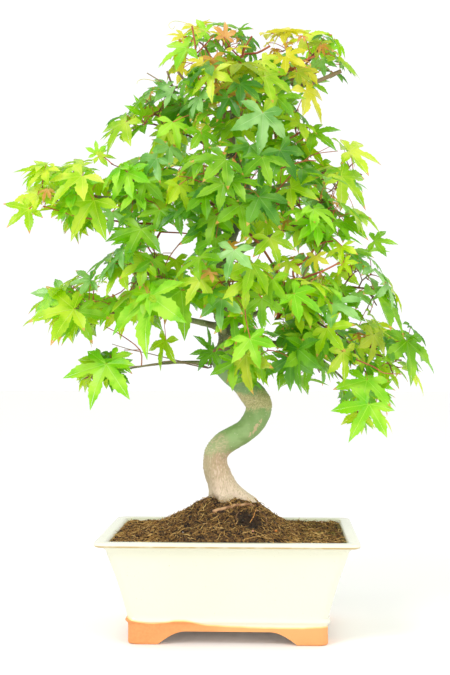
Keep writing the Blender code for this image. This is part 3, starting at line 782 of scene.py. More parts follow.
def smooth_path(knots, steps):
    """Points of a smooth curve through the knots; each knot is a tuple of numbers."""
    points = []
    for k in range(len(knots) - 1):
        a, b, c = knots[max(k - 1, 0)], knots[k], knots[k + 1]
        d = knots[min(k + 2, len(knots) - 1)]
        for s in range(steps):
            t = s / steps
            point = []
            for p, q, r, u in zip(a, b, c, d):
                bend = (r - p) * t + (2 * p - 5 * q + 4 * r - u) * t * t
                bend += (3 * q - p - 3 * r + u) * t**3
                point.append(q + 0.5 * bend)
            points.append(tuple(point))
    return points + [tuple(knots[-1])]


def tangents(points):
    """Which way a path runs at each of its points."""
    ends = zip(points[:1] + points, points[1:] + points[-1:])
    return [(after - before).normalized() for before, after in ends]


def sweep(ways, sides, surface):
    """A limb that runs these ways; surface gives a spot by its ring, angle and way out."""
    side = ways[0].orthogonal().normalized()
    rings = []
    for k, way in enumerate(ways):
        side = (side - way * side.dot(way)).normalized()
        up = way.cross(side)
        outwards = [(a, side * math.cos(a) + up * math.sin(a)) for a in around(sides)]
        rings.append([surface(k, angle, outward) for angle, outward in outwards])
    return loft(rings)


def trunk_line(steps):
    path = smooth_path([(*place, radius) for place, radius in TRUNK_KNOTS], steps)
    return [Vector(p[:3]) for p in path], [p[3] for p in path]


def bark_relief(spot, outward, radius):
    """How far the bark stands out at a spot: cracks at the foot, creases in the bends."""
    low = 1 - ease(spot.z, *CRACKS_FADE)
    stretched = Vector((spot.x * 240, spot.y * 240, spot.z * 70))
    crack = -abs(noise.noise(stretched)) * 0.0011 * low
    plates = noise.noise(spot * 330) * 0.00035 * low
    swell = noise.noise(spot * 42) * 0.0011 * min(1.0, radius / 0.010)
    wrinkle = noise.noise(Vector((spot.x * 60, spot.y * 60, spot.z * 420))) * 0.00030
    crease = ease(-outward.x, 0.2, 0.9) * (1 - ease(abs(spot.z - LEFT_BEND), 0.008, 0.020))
    crease += ease(outward.x, 0.2, 0.9) * (1 - ease(abs(spot.z - RIGHT_BEND), 0.010, 0.022))
    rings = math.sin(spot.z * 2300 + 2.5 * noise.noise(spot * 90)) * CREASE_DEPTH * crease
    callus = 1 - ease(abs(spot.z - RING_HEIGHT), 0.004, 0.010)
    rough = (0.0006 + noise.noise(spot * 520) * 0.0007) * callus
    knobs = noise.noise(spot * 130) * 0.0016 * ease(spot.z, *KNOBS_START)
    return crack + plates + swell + wrinkle + rings + rough + knobs


def make_trunk():
    points, radii = trunk_line(TRUNK_STEPS)
    rise = [point.z - points[0].z for point in points]
    ways = []
    for way, height in zip(tangents(points), rise):
        ways.append(UP.lerp(way, min(1.0, height / UPRIGHT_FOOT)).normalized())

    def surface(k, angle, outward):
        flare = math.exp(-rise[k] / FLARE_HEIGHT)
        lobes = 1 + ROOT_LOBE_DEPTH * flare * math.cos(ROOT_LOBES * angle + 0.6)
        spot = points[k] + outward * ((radii[k] + FLARE * flare) * lobes)
        return spot + outward * bark_relief(spot, outward, radii[k])

    return sweep(ways, TRUNK_SIDES, surface)


def bark_finish(name, dark, light):
    """Young maple bark, smooth and faintly striped, with pale breathing pores."""
    bark = Finish(name, 0.62)
    patches, fine = bark.grain(60.0, 4.0), bark.grain(900.0)
    colour = bark.over(patches.step(0.35, 0.65), dark, light)
    feeds = {"Vector": bark.place, "Scale": 260.0}
    pore = bark.field("ShaderNodeTexVoronoi", "Distance", feeds).step(0.17, 0.10)
    if name == "trunk_bark":
        colour = trunk_colours(bark, patches, fine, colour)
    bark.give("Base Color", bark.over(pore * 0.5, colour, (228, 222, 196)))
    bark.bump(pore * 0.6 + (bark.grain(300.0, 3.0, (1, 1, 0.25)) + fine), 0.0004, 0.8)
    return bark.material


def trunk_colours(bark, patches, fine, above):
    """Tan and freckled at the foot, green on the sweep, with a scar and a callus ring."""
    x, y, z = bark.axes()
    level = z + (patches * 0.026 - 0.013)
    ragged = level + (fine * 0.020 - 0.010)
    furrows = bark.grain(760.0, 3.0, (1, 1, 0.3))
    tan = bark.over(z.step(0.180, 0.142), (196, 168, 136), (222, 200, 176))
    tan = bark.over(furrows.step(0.50, 0.66) * 0.6, tan, (166, 150, 112))
    tan = bark.over(furrows.step(0.46, 0.34) * 0.5, tan, (234, 214, 192))
    tan = bark.over(x.step(-0.012, -0.026) * 0.5, tan, (164, 160, 118))
    earthy = ragged.step(SOIL_TOP + 0.012, SOIL_TOP - 0.002) * x.step(0.016, -0.014)
    tan = bark.over(earthy * 0.75, tan, (132, 108, 70))

    green = bark.over(patches.step(0.4, 0.6), (134, 164, 96), (152, 180, 116))
    inner_bend = level.near(0.199, 0.004, 0.014) * x.step(0.004, -0.008)
    creased = bark.grain(260.0, 3.0, (1, 1, 2.5)).step(0.44, 0.60)
    green = bark.over(inner_bend * 0.75, green, (164, 168, 122))
    green = bark.over(inner_bend * creased * 0.6, green, (206, 188, 150))
    colour = bark.over(ragged.step(0.184, 0.196), tan, green)

    # A scraped streak across the front of the sweep, long healed
    off_x, off_z = x - SCAR.x, z - SCAR.z
    along = off_x * math.cos(SCAR_SLANT) + off_z * math.sin(SCAR_SLANT)
    across = off_z * math.cos(SCAR_SLANT) - off_x * math.sin(SCAR_SLANT)
    oval = (along * (1 / SCAR_HALF[0])) ** 2 + (across * (1 / SCAR_HALF[1])) ** 2
    scar = (bark.grain(400.0) * 6.0 + oval).step(3.75, 3.35) * y.step(0.0, -0.003)
    colour = bark.over(scar * 0.8, colour, (212, 184, 146))

    flecks = bark.grain(950.0, 4.0).step(0.40, 0.62)
    callus = bark.over(flecks, (174, 156, 110), (220, 204, 154))
    upper = bark.over(patches.step(0.4, 0.6), (116, 148, 92), (136, 166, 108))
    colour = bark.over(level.step(0.247, 0.258), colour, upper)
    colour = bark.over(ragged.near(RING_HEIGHT, 0.006, 0.0115) * 0.85, colour, callus)
    return bark.over(level.step(0.284, 0.312), colour, above)


trunk_bark = bark_finish("trunk_bark", (66, 70, 42), (120, 120, 78))
trunk = add_piece("maple_trunk", make_trunk(), trunk_bark)
seat(trunk, "bark", "trunk")


# Surface roots: the trunk's upper roots, laid bare by watering, with a few rootlets, a
# straw and some pebbles beside them.

# Each: radius in millimetres, dark and light side, and the pixels of the photograph that
# it runs through
ROOTS = (
    (2.0, (140, 100, 68), (196, 154, 114), (213, 513), (222, 510), (232, 508), (243, 506),
     (254, 507)),
    (1.3, (84, 56, 36), (124, 88, 58), (248, 499), (256, 503), (262, 509), (270, 513)),
    (1.0, (84, 56, 36), (130, 94, 62), (208, 499), (202, 504), (194, 509)),
    (0.5, (206, 134, 66), (222, 158, 88), (256, 509), (254, 516), (250, 523)),
    (0.9, (120, 84, 56), (170, 130, 92), (256, 511), (262, 514), (266, 519), (267, 526)),
    (0.7, (84, 56, 36), (130, 94, 62), (240, 511), (236, 517), (238, 524)),
    (0.35, (196, 150, 84), (216, 174, 104), (244, 540), (251, 538), (259, 537), (268, 539),
     (275, 542)),
    (0.35, (186, 146, 92), (206, 168, 112), (196, 528), (203, 524), (211, 525), (217, 530)),
)
# Each: its pixel, radius in millimetres, and dark and light side
PEBBLES = (
    (253, 532, 1.6, (214, 138, 104), (236, 170, 138)),
    (276, 532, 2.0, (196, 112, 40), (222, 142, 62)),
    # The next three, near black, are lumps of soil in and by the washed-out hollow: partly their
    # own dark colour, partly painted shade of the hollow.
    (275, 525, 2.6, (26, 18, 14), (54, 40, 30)),
    (249, 517, 2.2, (30, 20, 14), (56, 40, 28)),
    (243, 522, 2.0, (34, 22, 14), (60, 42, 28)),
    (322, 523, 1.5, (206, 168, 150), (224, 190, 170)),
    (310, 519, 1.5, (190, 160, 60), (214, 186, 90)),
    (183, 533, 1.4, (150, 140, 130), (190, 180, 168)),
)
# How far a middle stands above the soil, and how thick a root is at both ends, in radii
ROOT_LIFT = 0.4
PEBBLE_LIFT = 0.5
ROOT_GIRTHS = (1.15, 0.7)
PEBBLE_SEED = 40
SIGHT_START = -0.09
SIGHT_STEP = 0.00025
SIGHT_STEPS = 800


def on_soil(column, row, lift):
    """The spot of the soil that a pixel of the photograph shows, raised a little."""
    for k in range(SIGHT_STEPS):
        point = from_photo(column, row, SIGHT_START + k * SIGHT_STEP)
        if point.z < soil_height(point.x, point.y):
            break
    point.z = soil_height(point.x, point.y) + lift
    return point


def taper(first, last, count):
    """Girths that change evenly from the first to the last."""
    return [mix(first, last, k / (count - 1)) for k in range(count)]


def thread_mesh(name, threads):
    """Open lines with a girth at each point, for Geometry Nodes to give a round skin."""
    points, edges, girths = [], [], []
    for path, radii in threads:
        edges += [(k, k + 1) for k in range(len(points), len(points) + len(path) - 1)]
        points += [tuple(p) for p in path]
        girths += radii
    mesh = bpy.data.meshes.new(name)
    mesh.from_pydata(points, edges, [])
    mesh.attributes.new("girth", "FLOAT", "POINT").data.foreach_set("value", girths)
    return add_object(name, mesh)


def named(tree, label, kind):
    """What a piece's own attribute says at each point or face."""
    return add(tree, "GeometryNodeInputNamedAttribute", {"Name": label}, data_type=kind).outputs[0]


def thread_tree():
    """Skins each line with a tube as thick as the line's girths."""
    tree, source = nodes_group("threads", sides="Int", finish="Material")
    curve = add(tree, "GeometryNodeMeshToCurve", {0: source["geometry"]}).outputs[0]
    feeds = {"Resolution": source["sides"], "Radius": 1.0}
    ring = add(tree, "GeometryNodeCurvePrimitiveCircle", feeds).outputs[0]
    feeds = {"Curve": curve, "Profile Curve": ring, "Fill Caps": True}
    feeds["Scale"] = named(tree, "girth", "FLOAT")
    skin = add(tree, "GeometryNodeCurveToMesh", feeds).outputs[0]
    skin = add(tree, "GeometryNodeRealizeInstances", {0: skin}).outputs[0]
    return end_tree(tree, dress(tree, smoothed(tree, skin), source["finish"]))


threads = thread_tree()
for k, (radius, dark, light, *pixels) in enumerate(ROOTS):
    lift = radius * ROOT_LIFT / 1000
    laid = [tuple(on_soil(*pixel, lift)) for pixel in pixels]
    path = []
    for x, y, z in smooth_path(laid, 5):
        path.append(Vector((x, y, max(z, soil_height(x, y) + lift))))
    girths = taper(radius * ROOT_GIRTHS[0] / 1000, radius * ROOT_GIRTHS[1] / 1000, len(path))
    root = thread_mesh(f"surface_root_{k}", [(path, girths)])
    grow_with(root, threads, sides=10, finish=speckled(f"root_bark_{k}", dark, light, 160.0))
    seat(root, "bark")
for k, (column, row, radius, dark, light) in enumerate(PEBBLES):
    points, faces = crumb_shape(PEBBLE_SEED + k)
    middle = on_soil(column, row, radius * PEBBLE_LIFT / 1000)
    points = [middle + point * (2 * radius / 1000) for point in points]
    finish = speckled(f"pebble_{k}", dark, light, 300.0, 0.6)
    pebble = add_piece(f"pebble_{k}", (points, faces), finish)
    rounding = pebble.modifiers.new("rounding", "SUBSURF")
    rounding.levels = rounding.render_levels = 2
    seat(pebble, "soil")


# Boughs: unbranched limbs that leave the trunk at a swollen collar, climb a little and
# level out into the mass of foliage that each one carries.

BOUGH_SIDES = 12
BOUGH_TIP = 0.42
BOUGH_BEND = 0.45
BOUGH_RISE = 0.10
BOUGH_SWAY = 0.06
SHORTEST_BOUGH = 8
COLLAR = 1.45
BRACE_LENGTH = 0.010
ENTRY_SHARE = 0.80
ENTRY_GAP = 0.004
CURVE_STEPS = 40
STEM_RADIUS = 0.0017
KNOB_SPACING = 0.017
KNOB_SWELL = 0.13
KNOB_WIDTH = 0.09

# Each mass: centre, half sizes, leaves, what carries it and where, and the bough's
# radius. A place on the trunk is a height, and one on a bough is a share of its length.
FOLIAGE = {
    "apex_left": ((-0.020, 0.000, 0.613), (0.060, 0.056, 0.044), 25, "trunk", 0.562, 0.0026),
    "apex_right": ((0.080, -0.008, 0.604), (0.062, 0.056, 0.047), 24, "trunk", 0.540, 0.0028),
    "upper_left": ((-0.084, -0.012, 0.540), (0.060, 0.056, 0.046), 24, "trunk", 0.503, 0.0028),
    "upper_front": ((0.000, -0.062, 0.556), (0.058, 0.054, 0.052), 24, "trunk", 0.520, 0),
    "upper_right": ((0.072, -0.020, 0.528), (0.058, 0.058, 0.048), 23, "trunk", 0.490, 0.0028),
    "back_top": ((0.005, 0.070, 0.570), (0.066, 0.058, 0.056), 22, "trunk", 0.545, 0),
    "left_arm": ((-0.178, -0.045, 0.460), (0.066, 0.058, 0.052), 24, "trunk", 0.428, 0.0038),
    "left_inner": ((-0.092, -0.050, 0.474), (0.054, 0.056, 0.054), 23, "trunk", 0.456, 0.0030),
    "centre_front": ((-0.006, -0.086, 0.456), (0.058, 0.058, 0.056), 23, "trunk", 0.405, 0.0034),
    "right_mid": ((0.092, -0.050, 0.440), (0.060, 0.056, 0.054), 24, "trunk", 0.385, 0.0036),
    "right_shoulder": ((0.124, 0.012, 0.486), (0.058, 0.060, 0.050), 23, "trunk", 0.462, 0.0032),
    "back_mid_left": ((-0.084, 0.080, 0.480), (0.066, 0.062, 0.058), 22, "trunk", 0.442, 0.0034),
    "back_mid_right": ((0.044, 0.090, 0.464), (0.068, 0.062, 0.060), 22, "trunk", 0.425, 0.0034),
    "left_low_arm": ((-0.164, 0.000, 0.338), (0.068, 0.064, 0.050), 24, "trunk", 0.322, 0.0038),
    "left_low_inner": ((-0.090, -0.048, 0.378), (0.058, 0.056, 0.060), 24, "trunk", 0.352, 0.0030),
    "centre_low": ((0.000, -0.091, 0.364), (0.058, 0.058, 0.054), 22, "trunk", 0.314, 0.0034),
    "right_low_inner": ((0.080, -0.050, 0.358), (0.056, 0.056, 0.054), 23, "trunk", 0.330, 0.0028),
    "right_outer": ((0.146, 0.008, 0.366), (0.060, 0.062, 0.054), 24, "trunk", 0.352, 0.0038),
    "right_low_outer": ((0.168, 0.035, 0.292), (0.066, 0.062, 0.048), 22, "trunk", 0.302, 0.0040),
    "low_centre_right": ((0.084, -0.036, 0.292), (0.058, 0.056, 0.048), 22,
                         "right_low_outer", 0.34, 0.0022),
    "right_hanging": ((0.144, -0.010, 0.240), (0.046, 0.044, 0.038), 12,
                      "right_low_outer", 0.70, 0.0020),
    "left_hanging": ((-0.142, -0.020, 0.272), (0.048, 0.046, 0.040), 12, "trunk", 0.284, 0.0022),
    "front_foot": ((0.020, -0.072, 0.292), (0.044, 0.044, 0.040), 11, "trunk", 0.276, 0.0022),
    "back_low_left": ((-0.088, 0.080, 0.370), (0.066, 0.064, 0.060), 22, "trunk", 0.332, 0.0034),
    "back_low_right": ((0.078, 0.088, 0.358), (0.066, 0.062, 0.060), 22, "trunk", 0.322, 0.0034),
    "back_low": ((-0.006, 0.097, 0.314), (0.056, 0.050, 0.052), 17, "trunk", 0.300, 0.0032),
}


def on_trunk(height):
    points, _ = trunk_line(3)
    for low, high in zip(points, points[1:]):
        if low.z <= height <= high.z:
            return low.lerp(high, (height - low.z) / (high.z - low.z))
    return points[-1]


def arc(start, bend, end, steps):
    points = []
    for k in range(steps + 1):
        t = k / steps
        points.append(start * (1 - t) ** 2 + bend * 2 * t * (1 - t) + end * t**2)
    return points


def curve_to(start, end):
    """Points of a bough's centre line, which climbs at first and then levels out."""
    rise = BOUGH_RISE * (end - start).to_2d().length
    line = arc(start, start.lerp(end, BOUGH_BEND) + UP * rise, end, CURVE_STEPS)
    sway = (end - start).cross(UP) * BOUGH_SWAY
    shares = [k / CURVE_STEPS for k in range(CURVE_STEPS + 1)]
    return [point + sway * math.sin(2 * math.pi * t) for point, t in zip(line, shares)]


def ellipsoid_share(space, point):
    """0 at a mass's centre and 1 on its surface."""
    away = point - space["centre"]
    return math.sqrt(sum((a / h) ** 2 for a, h in zip(away, space["half"])))


def support(space, way):
    return math.sqrt(sum((h * w) ** 2 for h, w in zip(space["half"], way)))


def make_spaces():
    """Each mass's centre, half sizes, and the flat boundaries that it shares."""
    spaces = {}
    for name, (centre, half, *_) in FOLIAGE.items():
        spaces[name] = {"centre": Vector(centre), "half": Vector(half), "walls": []}
    for space, other in permutations(spaces.values(), 2):
        away = other["centre"] - space["centre"]
        way = away.normalized()
        mine, theirs = support(space, way), support(other, way)
        share = mine / (mine + theirs)
        space["walls"].append((space["centre"] + away * share, way))
    return spaces


def room(space, way):
    """How far a mass's space reaches from its centre along a direction of length 1."""
    reach = 1 / math.sqrt(sum((w / h) ** 2 for w, h in zip(way, space["half"])))
    for place, wall_way in space["walls"]:
        slope = way.dot(wall_way)
        if slope > 0:
            reach = min(reach, (place - space["centre"]).dot(wall_way) / slope)
    return reach


def inside(space, point, reach, gap):
    if ellipsoid_share(space, point) > reach:
        return False
    return all((point - place).dot(way) <= -gap for place, way in space["walls"])


def travelled(points):
    """How far along a path each of its points lies."""
    runs = [0.0]
    for before, after in zip(points, points[1:]):
        runs.append(runs[-1] + (after - before).length)
    return runs


def limb_shape(points, radii, seed):
    """A limb of round section with swollen knobs where leaves once sat."""
    knobs = []
    for run in travelled(points):
        beat = abs((run / KNOB_SPACING + seed * 0.37) % 1.0 - 0.5)
        knobs.append(1 + KNOB_SWELL * math.exp(-((beat / KNOB_WIDTH) ** 2)))

    def surface(k, _, outward):
        spot = (points[k] + outward * radii[k]) * 160 + Vector((seed, 0, 0))
        rough = 1 + 0.10 * noise.noise(spot)
        return points[k] + outward * radii[k] * knobs[k] * rough

    return sweep(tangents(points), BOUGH_SIDES, surface)


def make_boughs(spaces, finish):
    """Each bough in turn, with where its mass's stem starts and which way it heads."""
    lines = {}
    for seed, (name, (_, _, _, carrier, place, radius)) in enumerate(FOLIAGE.items()):
        if carrier == "trunk":
            start = on_trunk(place)
        else:
            line = lines[carrier]["points"]
            start = line[round(place * (len(line) - 1))]
        path = curve_to(start, spaces[name]["centre"])
        if radius == 0:
            lines[name] = {"tip": start, "way": tangents(path)[0], "radius": STEM_RADIUS * 1.3}
            continue
        last = 0
        while last < CURVE_STEPS and not inside(spaces[name], path[last], ENTRY_SHARE, ENTRY_GAP):
            last += 1
        points = path[: max(last, SHORTEST_BOUGH) + 1]
        runs = travelled(points)
        radii = []
        for run in runs:
            brace = 1 + (COLLAR - 1) * math.exp(-run / BRACE_LENGTH)
            radii.append(radius * mix(1.0, BOUGH_TIP, run / runs[-1]) * brace)
        bough = add_piece(f"limb_{name}", limb_shape(points, radii, seed), finish)
        seat(bough, "bark", f"bough_{name}")
        lines[name] = {"points": points, "tip": points[-1], "way": tangents(points)[-1]}
        lines[name]["radius"] = radii[-1] * 0.97
    return lines


limb_bark = bark_finish("limb_bark", (106, 100, 66), (144, 150, 104))
spaces = make_spaces()
lines = make_boughs(spaces, limb_bark)


# Leaf blades: thin palmate leaves of five or seven lobes, with toothed edges and long
# drawn-out tips. A pale rib runs down each lobe, and finer veins branch off it.

# Half of a leaf, each lobe: angle from the middle in degrees, length, droop of its tip
SEVEN_LOBES = ((-128, 0.34, 0.5), (-92, 0.66, 0.8), (-47, 0.92, 1.0), (0, 1.0, 1.1))
FIVE_LOBES = ((-108, 0.62, 0.7), (-56, 0.93, 1.0), (0, 1.0, 1.1))
# One edge of a lobe from its root to its tip: share of the length, and half width
TOOTHED_EDGE = (
    (0.40, 0.132), (0.43, 0.122), (0.53, 0.172), (0.56, 0.146), (0.65, 0.160), (0.68, 0.128),
    (0.77, 0.118), (0.80, 0.082), (0.89, 0.046),
)
SMALL_EDGE = ((0.55, 0.150), (0.80, 0.085))
SMALL_LOBE = 0.5
# How far a blade is folded along its ribs, how far its tips hang, and how its lobes vary
FOLD = (0.20, 0.42)
DROOP = (0.12, 0.20)
LOBE_SWING = 3.5
LOBE_LENGTHS = (0.94, 1.03)
LOBE_DROOPS = (0.4, 1.6)
LOBE_WIDTHS = (0.90, 1.14)
SINUS = 0.31
RIB_WIDTH = 0.011
RIB_BREAK = 0.53
TIP_BREAK = 0.88
CURL = 2.6
LEAF_VARIANTS = 10
CURLED_VARIANTS = 3
FLAT_VARIANTS = LEAF_VARIANTS - CURLED_VARIANTS
VEIN_SPACING = 0.032
VEIN_SLANT = 1.1
LIGHT_THROUGH = 0.34


def both_sides(half):
    return half + tuple((-angle, length, droop) for angle, length, droop in reversed(half[:-1]))


def leaf_blade(seed, lobe_table, curl):
    """A blade one unit long from its stalk, lying along +Y and facing +Z.

    Gives its points, for each face its corners, kind and lobe, and each lobe's direction.
    """
    rng = random.Random(seed)
    fold = rng.uniform(*FOLD)
    droop = rng.uniform(*DROOP) * curl
    points, faces = [], []

    def put(x, y, z):
        points.append(Vector((x, y, z)))
        return len(points) - 1

    lobes = []
    for angle, length, sink in both_sides(lobe_table):
        bearing = math.radians(angle + rng.uniform(-LOBE_SWING, LOBE_SWING))
        along = Vector((math.sin(bearing), math.cos(bearing), 0))
        length *= rng.uniform(*LOBE_LENGTHS)
        lobes.append((along, length, sink * rng.uniform(*LOBE_DROOPS)))

    def on_lobe(lobe, share, across):
        """A spot of a lobe: share of its length, and distance from its rib to the right."""
        along, length, sink = lobe
        right = Vector((along.y, -along.x, 0))
        flat = along * share * length + right * across * min(1.0, length + 0.12)
        height = abs(across) * fold + 0.05 * share - droop * sink * share**2
        return put(flat.x, flat.y, height)

    sinuses = []
    for (one, one_length, _), (two, two_length, _) in zip(lobes, lobes[1:]):
        between = (one + two).normalized() * SINUS * min(one_length + 0.1, two_length + 0.1)
        sinuses.append(put(between.x, between.y, 0.03 + rng.uniform(-0.01, 0.02)))
    edges = [put(-0.05, -0.05, 0.0), *sinuses, put(0.05, -0.05, 0.0)]
    middle = put(0, 0, 0)
    narrow = RIB_WIDTH * 0.6
    roots = []
    for along, _, _ in lobes:
        near, right = along * 0.03, Vector((along.y, -along.x, 0)) * narrow
        roots.append([put(near.x + s * right.x, near.y + s * right.y, 0) for s in (-1, 1)])
    for k, lobe in enumerate(lobes):
        tip = on_lobe(lobe, 1.0, 0.0)
        small = lobe[1] < SMALL_LOBE
        ribs = [on_lobe(lobe, RIB_BREAK, side * narrow) for side in (-1, 1)]
        for side, root, rib, corner in zip((-1, 1), roots[k], ribs, edges[k : k + 2]):
            wide = rng.uniform(*LOBE_WIDTHS)
            profile = SMALL_EDGE if small else TOOTHED_EDGE
            outer = [on_lobe(lobe, s, side * w * wide) for s, w in profile]
            if small:
                loops = [([root, corner, outer[0], rib], "blade"), ([rib, *outer, tip], "tip")]
            else:
                late = on_lobe(lobe, TIP_BREAK, side * narrow * 0.5)
                loops = [([root, corner, *outer[:3], rib], "blade")]
                loops += [([rib, *outer[2:], late], "blade"), ([late, outer[-1], tip], "tip")]
            faces += [(loop if side < 0 else loop[::-1], kind, k) for loop, kind in loops]
        faces.append(([roots[k][0], *ribs, roots[k][1]], "rib", k))
        faces.append(([ribs[0], tip, ribs[1]], "rib", k))
        faces.append(([middle, *roots[k]], "rib", k))
        faces.append(([middle, edges[k], roots[k][0]], "blade", k))
        faces.append(([middle, roots[k][1], edges[k + 1]], "blade", k))
    return points, faces, [along for along, _, _ in lobes]


def leaf_templates():
    pieces = []
    for k in range(LEAF_VARIANTS):
        table = FIVE_LOBES if k % 2 else SEVEN_LOBES
        points, faces, ways = leaf_blade(k, table, 1.0 if k < FLAT_VARIANTS else CURL)
        loops = [loop for loop, _, _ in faces]
        piece = add_piece(f"blade_{k:02}", (points, loops), None, smooth=False)
        for kind in ("rib", "tip"):
            marks = piece.data.attributes.new(kind, "BOOLEAN", "FACE")
            marks.data.foreach_set("value", [found == kind for _, found, _ in faces])
        # Where each corner lies beside its lobe's rib: along it, and away from it
        beside = []
        for loop, _, owner in faces:
            along = ways[owner].to_2d()
            for spot in (points[corner].to_2d() for corner in loop):
                beside += [spot.dot(along), abs(spot.cross(along))]
        piece.data.uv_layers.new(name="vein").data.foreach_set("uv", beside)
        pieces.append(piece)
    return template_group("blade", pieces)


def leaf_tree():
    """Sets a blade on each point, turned and sized by the point's own attributes."""
    finishes = dict.fromkeys(("tint", "rib", "scorch"), "Material")
    tree, source = nodes_group("leaves", blades="Collection", **finishes)
    turn = named(tree, "turn", "FLOAT_VECTOR")
    turn = add(tree, "FunctionNodeEulerToRotation", {0: turn}).outputs[0]
    size, pick = named(tree, "size", "FLOAT"), named(tree, "variant", "INT")
    leaves = pick_and_place(tree, source["blades"], source["geometry"], turn, size, pick)
    leaves = dress(tree, leaves, source["tint"])
    leaves = dress(tree, leaves, source["rib"], named(tree, "rib", "BOOLEAN"))
    feeds = {0: named(tree, "tip", "BOOLEAN"), 1: named(tree, "scorched", "BOOLEAN")}
    burnt = add(tree, "FunctionNodeBooleanMath", feeds, operation="AND").outputs[0]
    leaves = dress(tree, leaves, source["scorch"], burnt)
    return end_tree(tree, smoothed(tree, leaves))


def leaf_finish(name, dark, light, through, shine, roughness=0.30):
    """A glossy blade, quilted between its veins, that lets part of the light through."""
    leaf = Finish(name, roughness)
    leaf.shader.inputs["Specular IOR Level"].default_value = shine
    colour = leaf.over(leaf.grain(38.0, 2.0).step(0.38, 0.62), dark, light)
    along, away, _ = leaf.axes(leaf.field("ShaderNodeUVMap", 0, uv_map="vein"))
    slant = along - away * VEIN_SLANT
    vein = 1 - slant.to_and_fro(VEIN_SPACING).step(0.002, 0.007)
    leaf.give("Base Color", leaf.over(vein * 0.28, colour, through))
    leaf.bump(leaf.grain(520.0, 2.0) - vein * 0.7, 0.0003, 0.6)
    glow = leaf.field("ShaderNodeBsdfTranslucent", 0, {"Color": paint(*through)})
    feeds = {0: LIGHT_THROUGH, 1: leaf.shader.outputs[0], 2: glow}
    both = leaf.field("ShaderNodeMixShader", 0, feeds)
    leaf.tree.links.new(both.socket, leaf.tree.nodes["Material Output"].inputs["Surface"])
    return leaf.material


# Twigs and leaf stalks: each mass branches from one stem to twigs, and from those to
# twiglets that end in a pair of buds with a leaf on either side. The leaves that show in
# the photograph keep their places there, and the others grow by the rule between them,
# within the crown's outline and clear of the gaps where the sky shows.

STEM_PAST_MIDDLE = 0.30
STEM_STEPS = 12
FIRST_FORK = 2
FORK_BACK = 2
STEM_ZIGZAG = 0.0007
TWIG_RADIUS = 0.0010
TWIG_ROOT = 0.62
TWIG_STEPS = 6
TWIG_ARCH = 0.15
TWIG_ZIGZAG = 0.0006
SHORTEST_TWIG = 0.006
FIRST_TWIGLET = 3
TWIGLET_RADIUS = 0.00062
TWIGLET_SHARE = (0.35, 0.55)
TWIGLET_ARCH = 0.002
TWIGLET_ZIGZAG = 0.0005
BUD_SWELL = 1.5
STALK_GIRTHS = [0.00042 * share for share in (1.5, 1.0, 0.9, 0.9, 1.2)]
STALK_LENGTH = (0.008, 0.0494)
STALK_ARCH = 0.14
STALK_LEAN = 0.10
FORK_STEPS = 4
LEAVES_A_TWIG = 5
TWIG_SHARE = 0.42
LEAF_LENGTH = (0.031, 0.046)
LEAF_SHARE = 1.15
LEAF_REACH = 1.06
LEAF_TRIES = 90
LEAF_SHRINK = 0.30
TOP_SHRINK = 0.34
TOP_HEIGHTS = (0.54, 0.62)
LEAF_DEPTH = (0.84, 0.35)
LEAF_STRAY = (0.25, 0.8)
WALL_CROSSING = 0.006
ELBOW_ROOM = 0.66
NEIGHBOUR = 0.09
BOX_MARGIN = 0.0015
FACING = Vector((0, -0.8, 0.6))
GOLDEN_ANGLE = math.pi * (3 - math.sqrt(5))
# A plain leaf: angle from the middle, and reach, of each lobe, and of the notch after it
LEAF_FAN = ((-105, 0.68), (-54, 0.94), (0, 1.0), (54, 0.94), (105, 0.68))
NOTCH_TURN = 27
NOTCH_REACH = 0.42
BASE_SHARE = 0.35
TIP_DROOP = 0.12

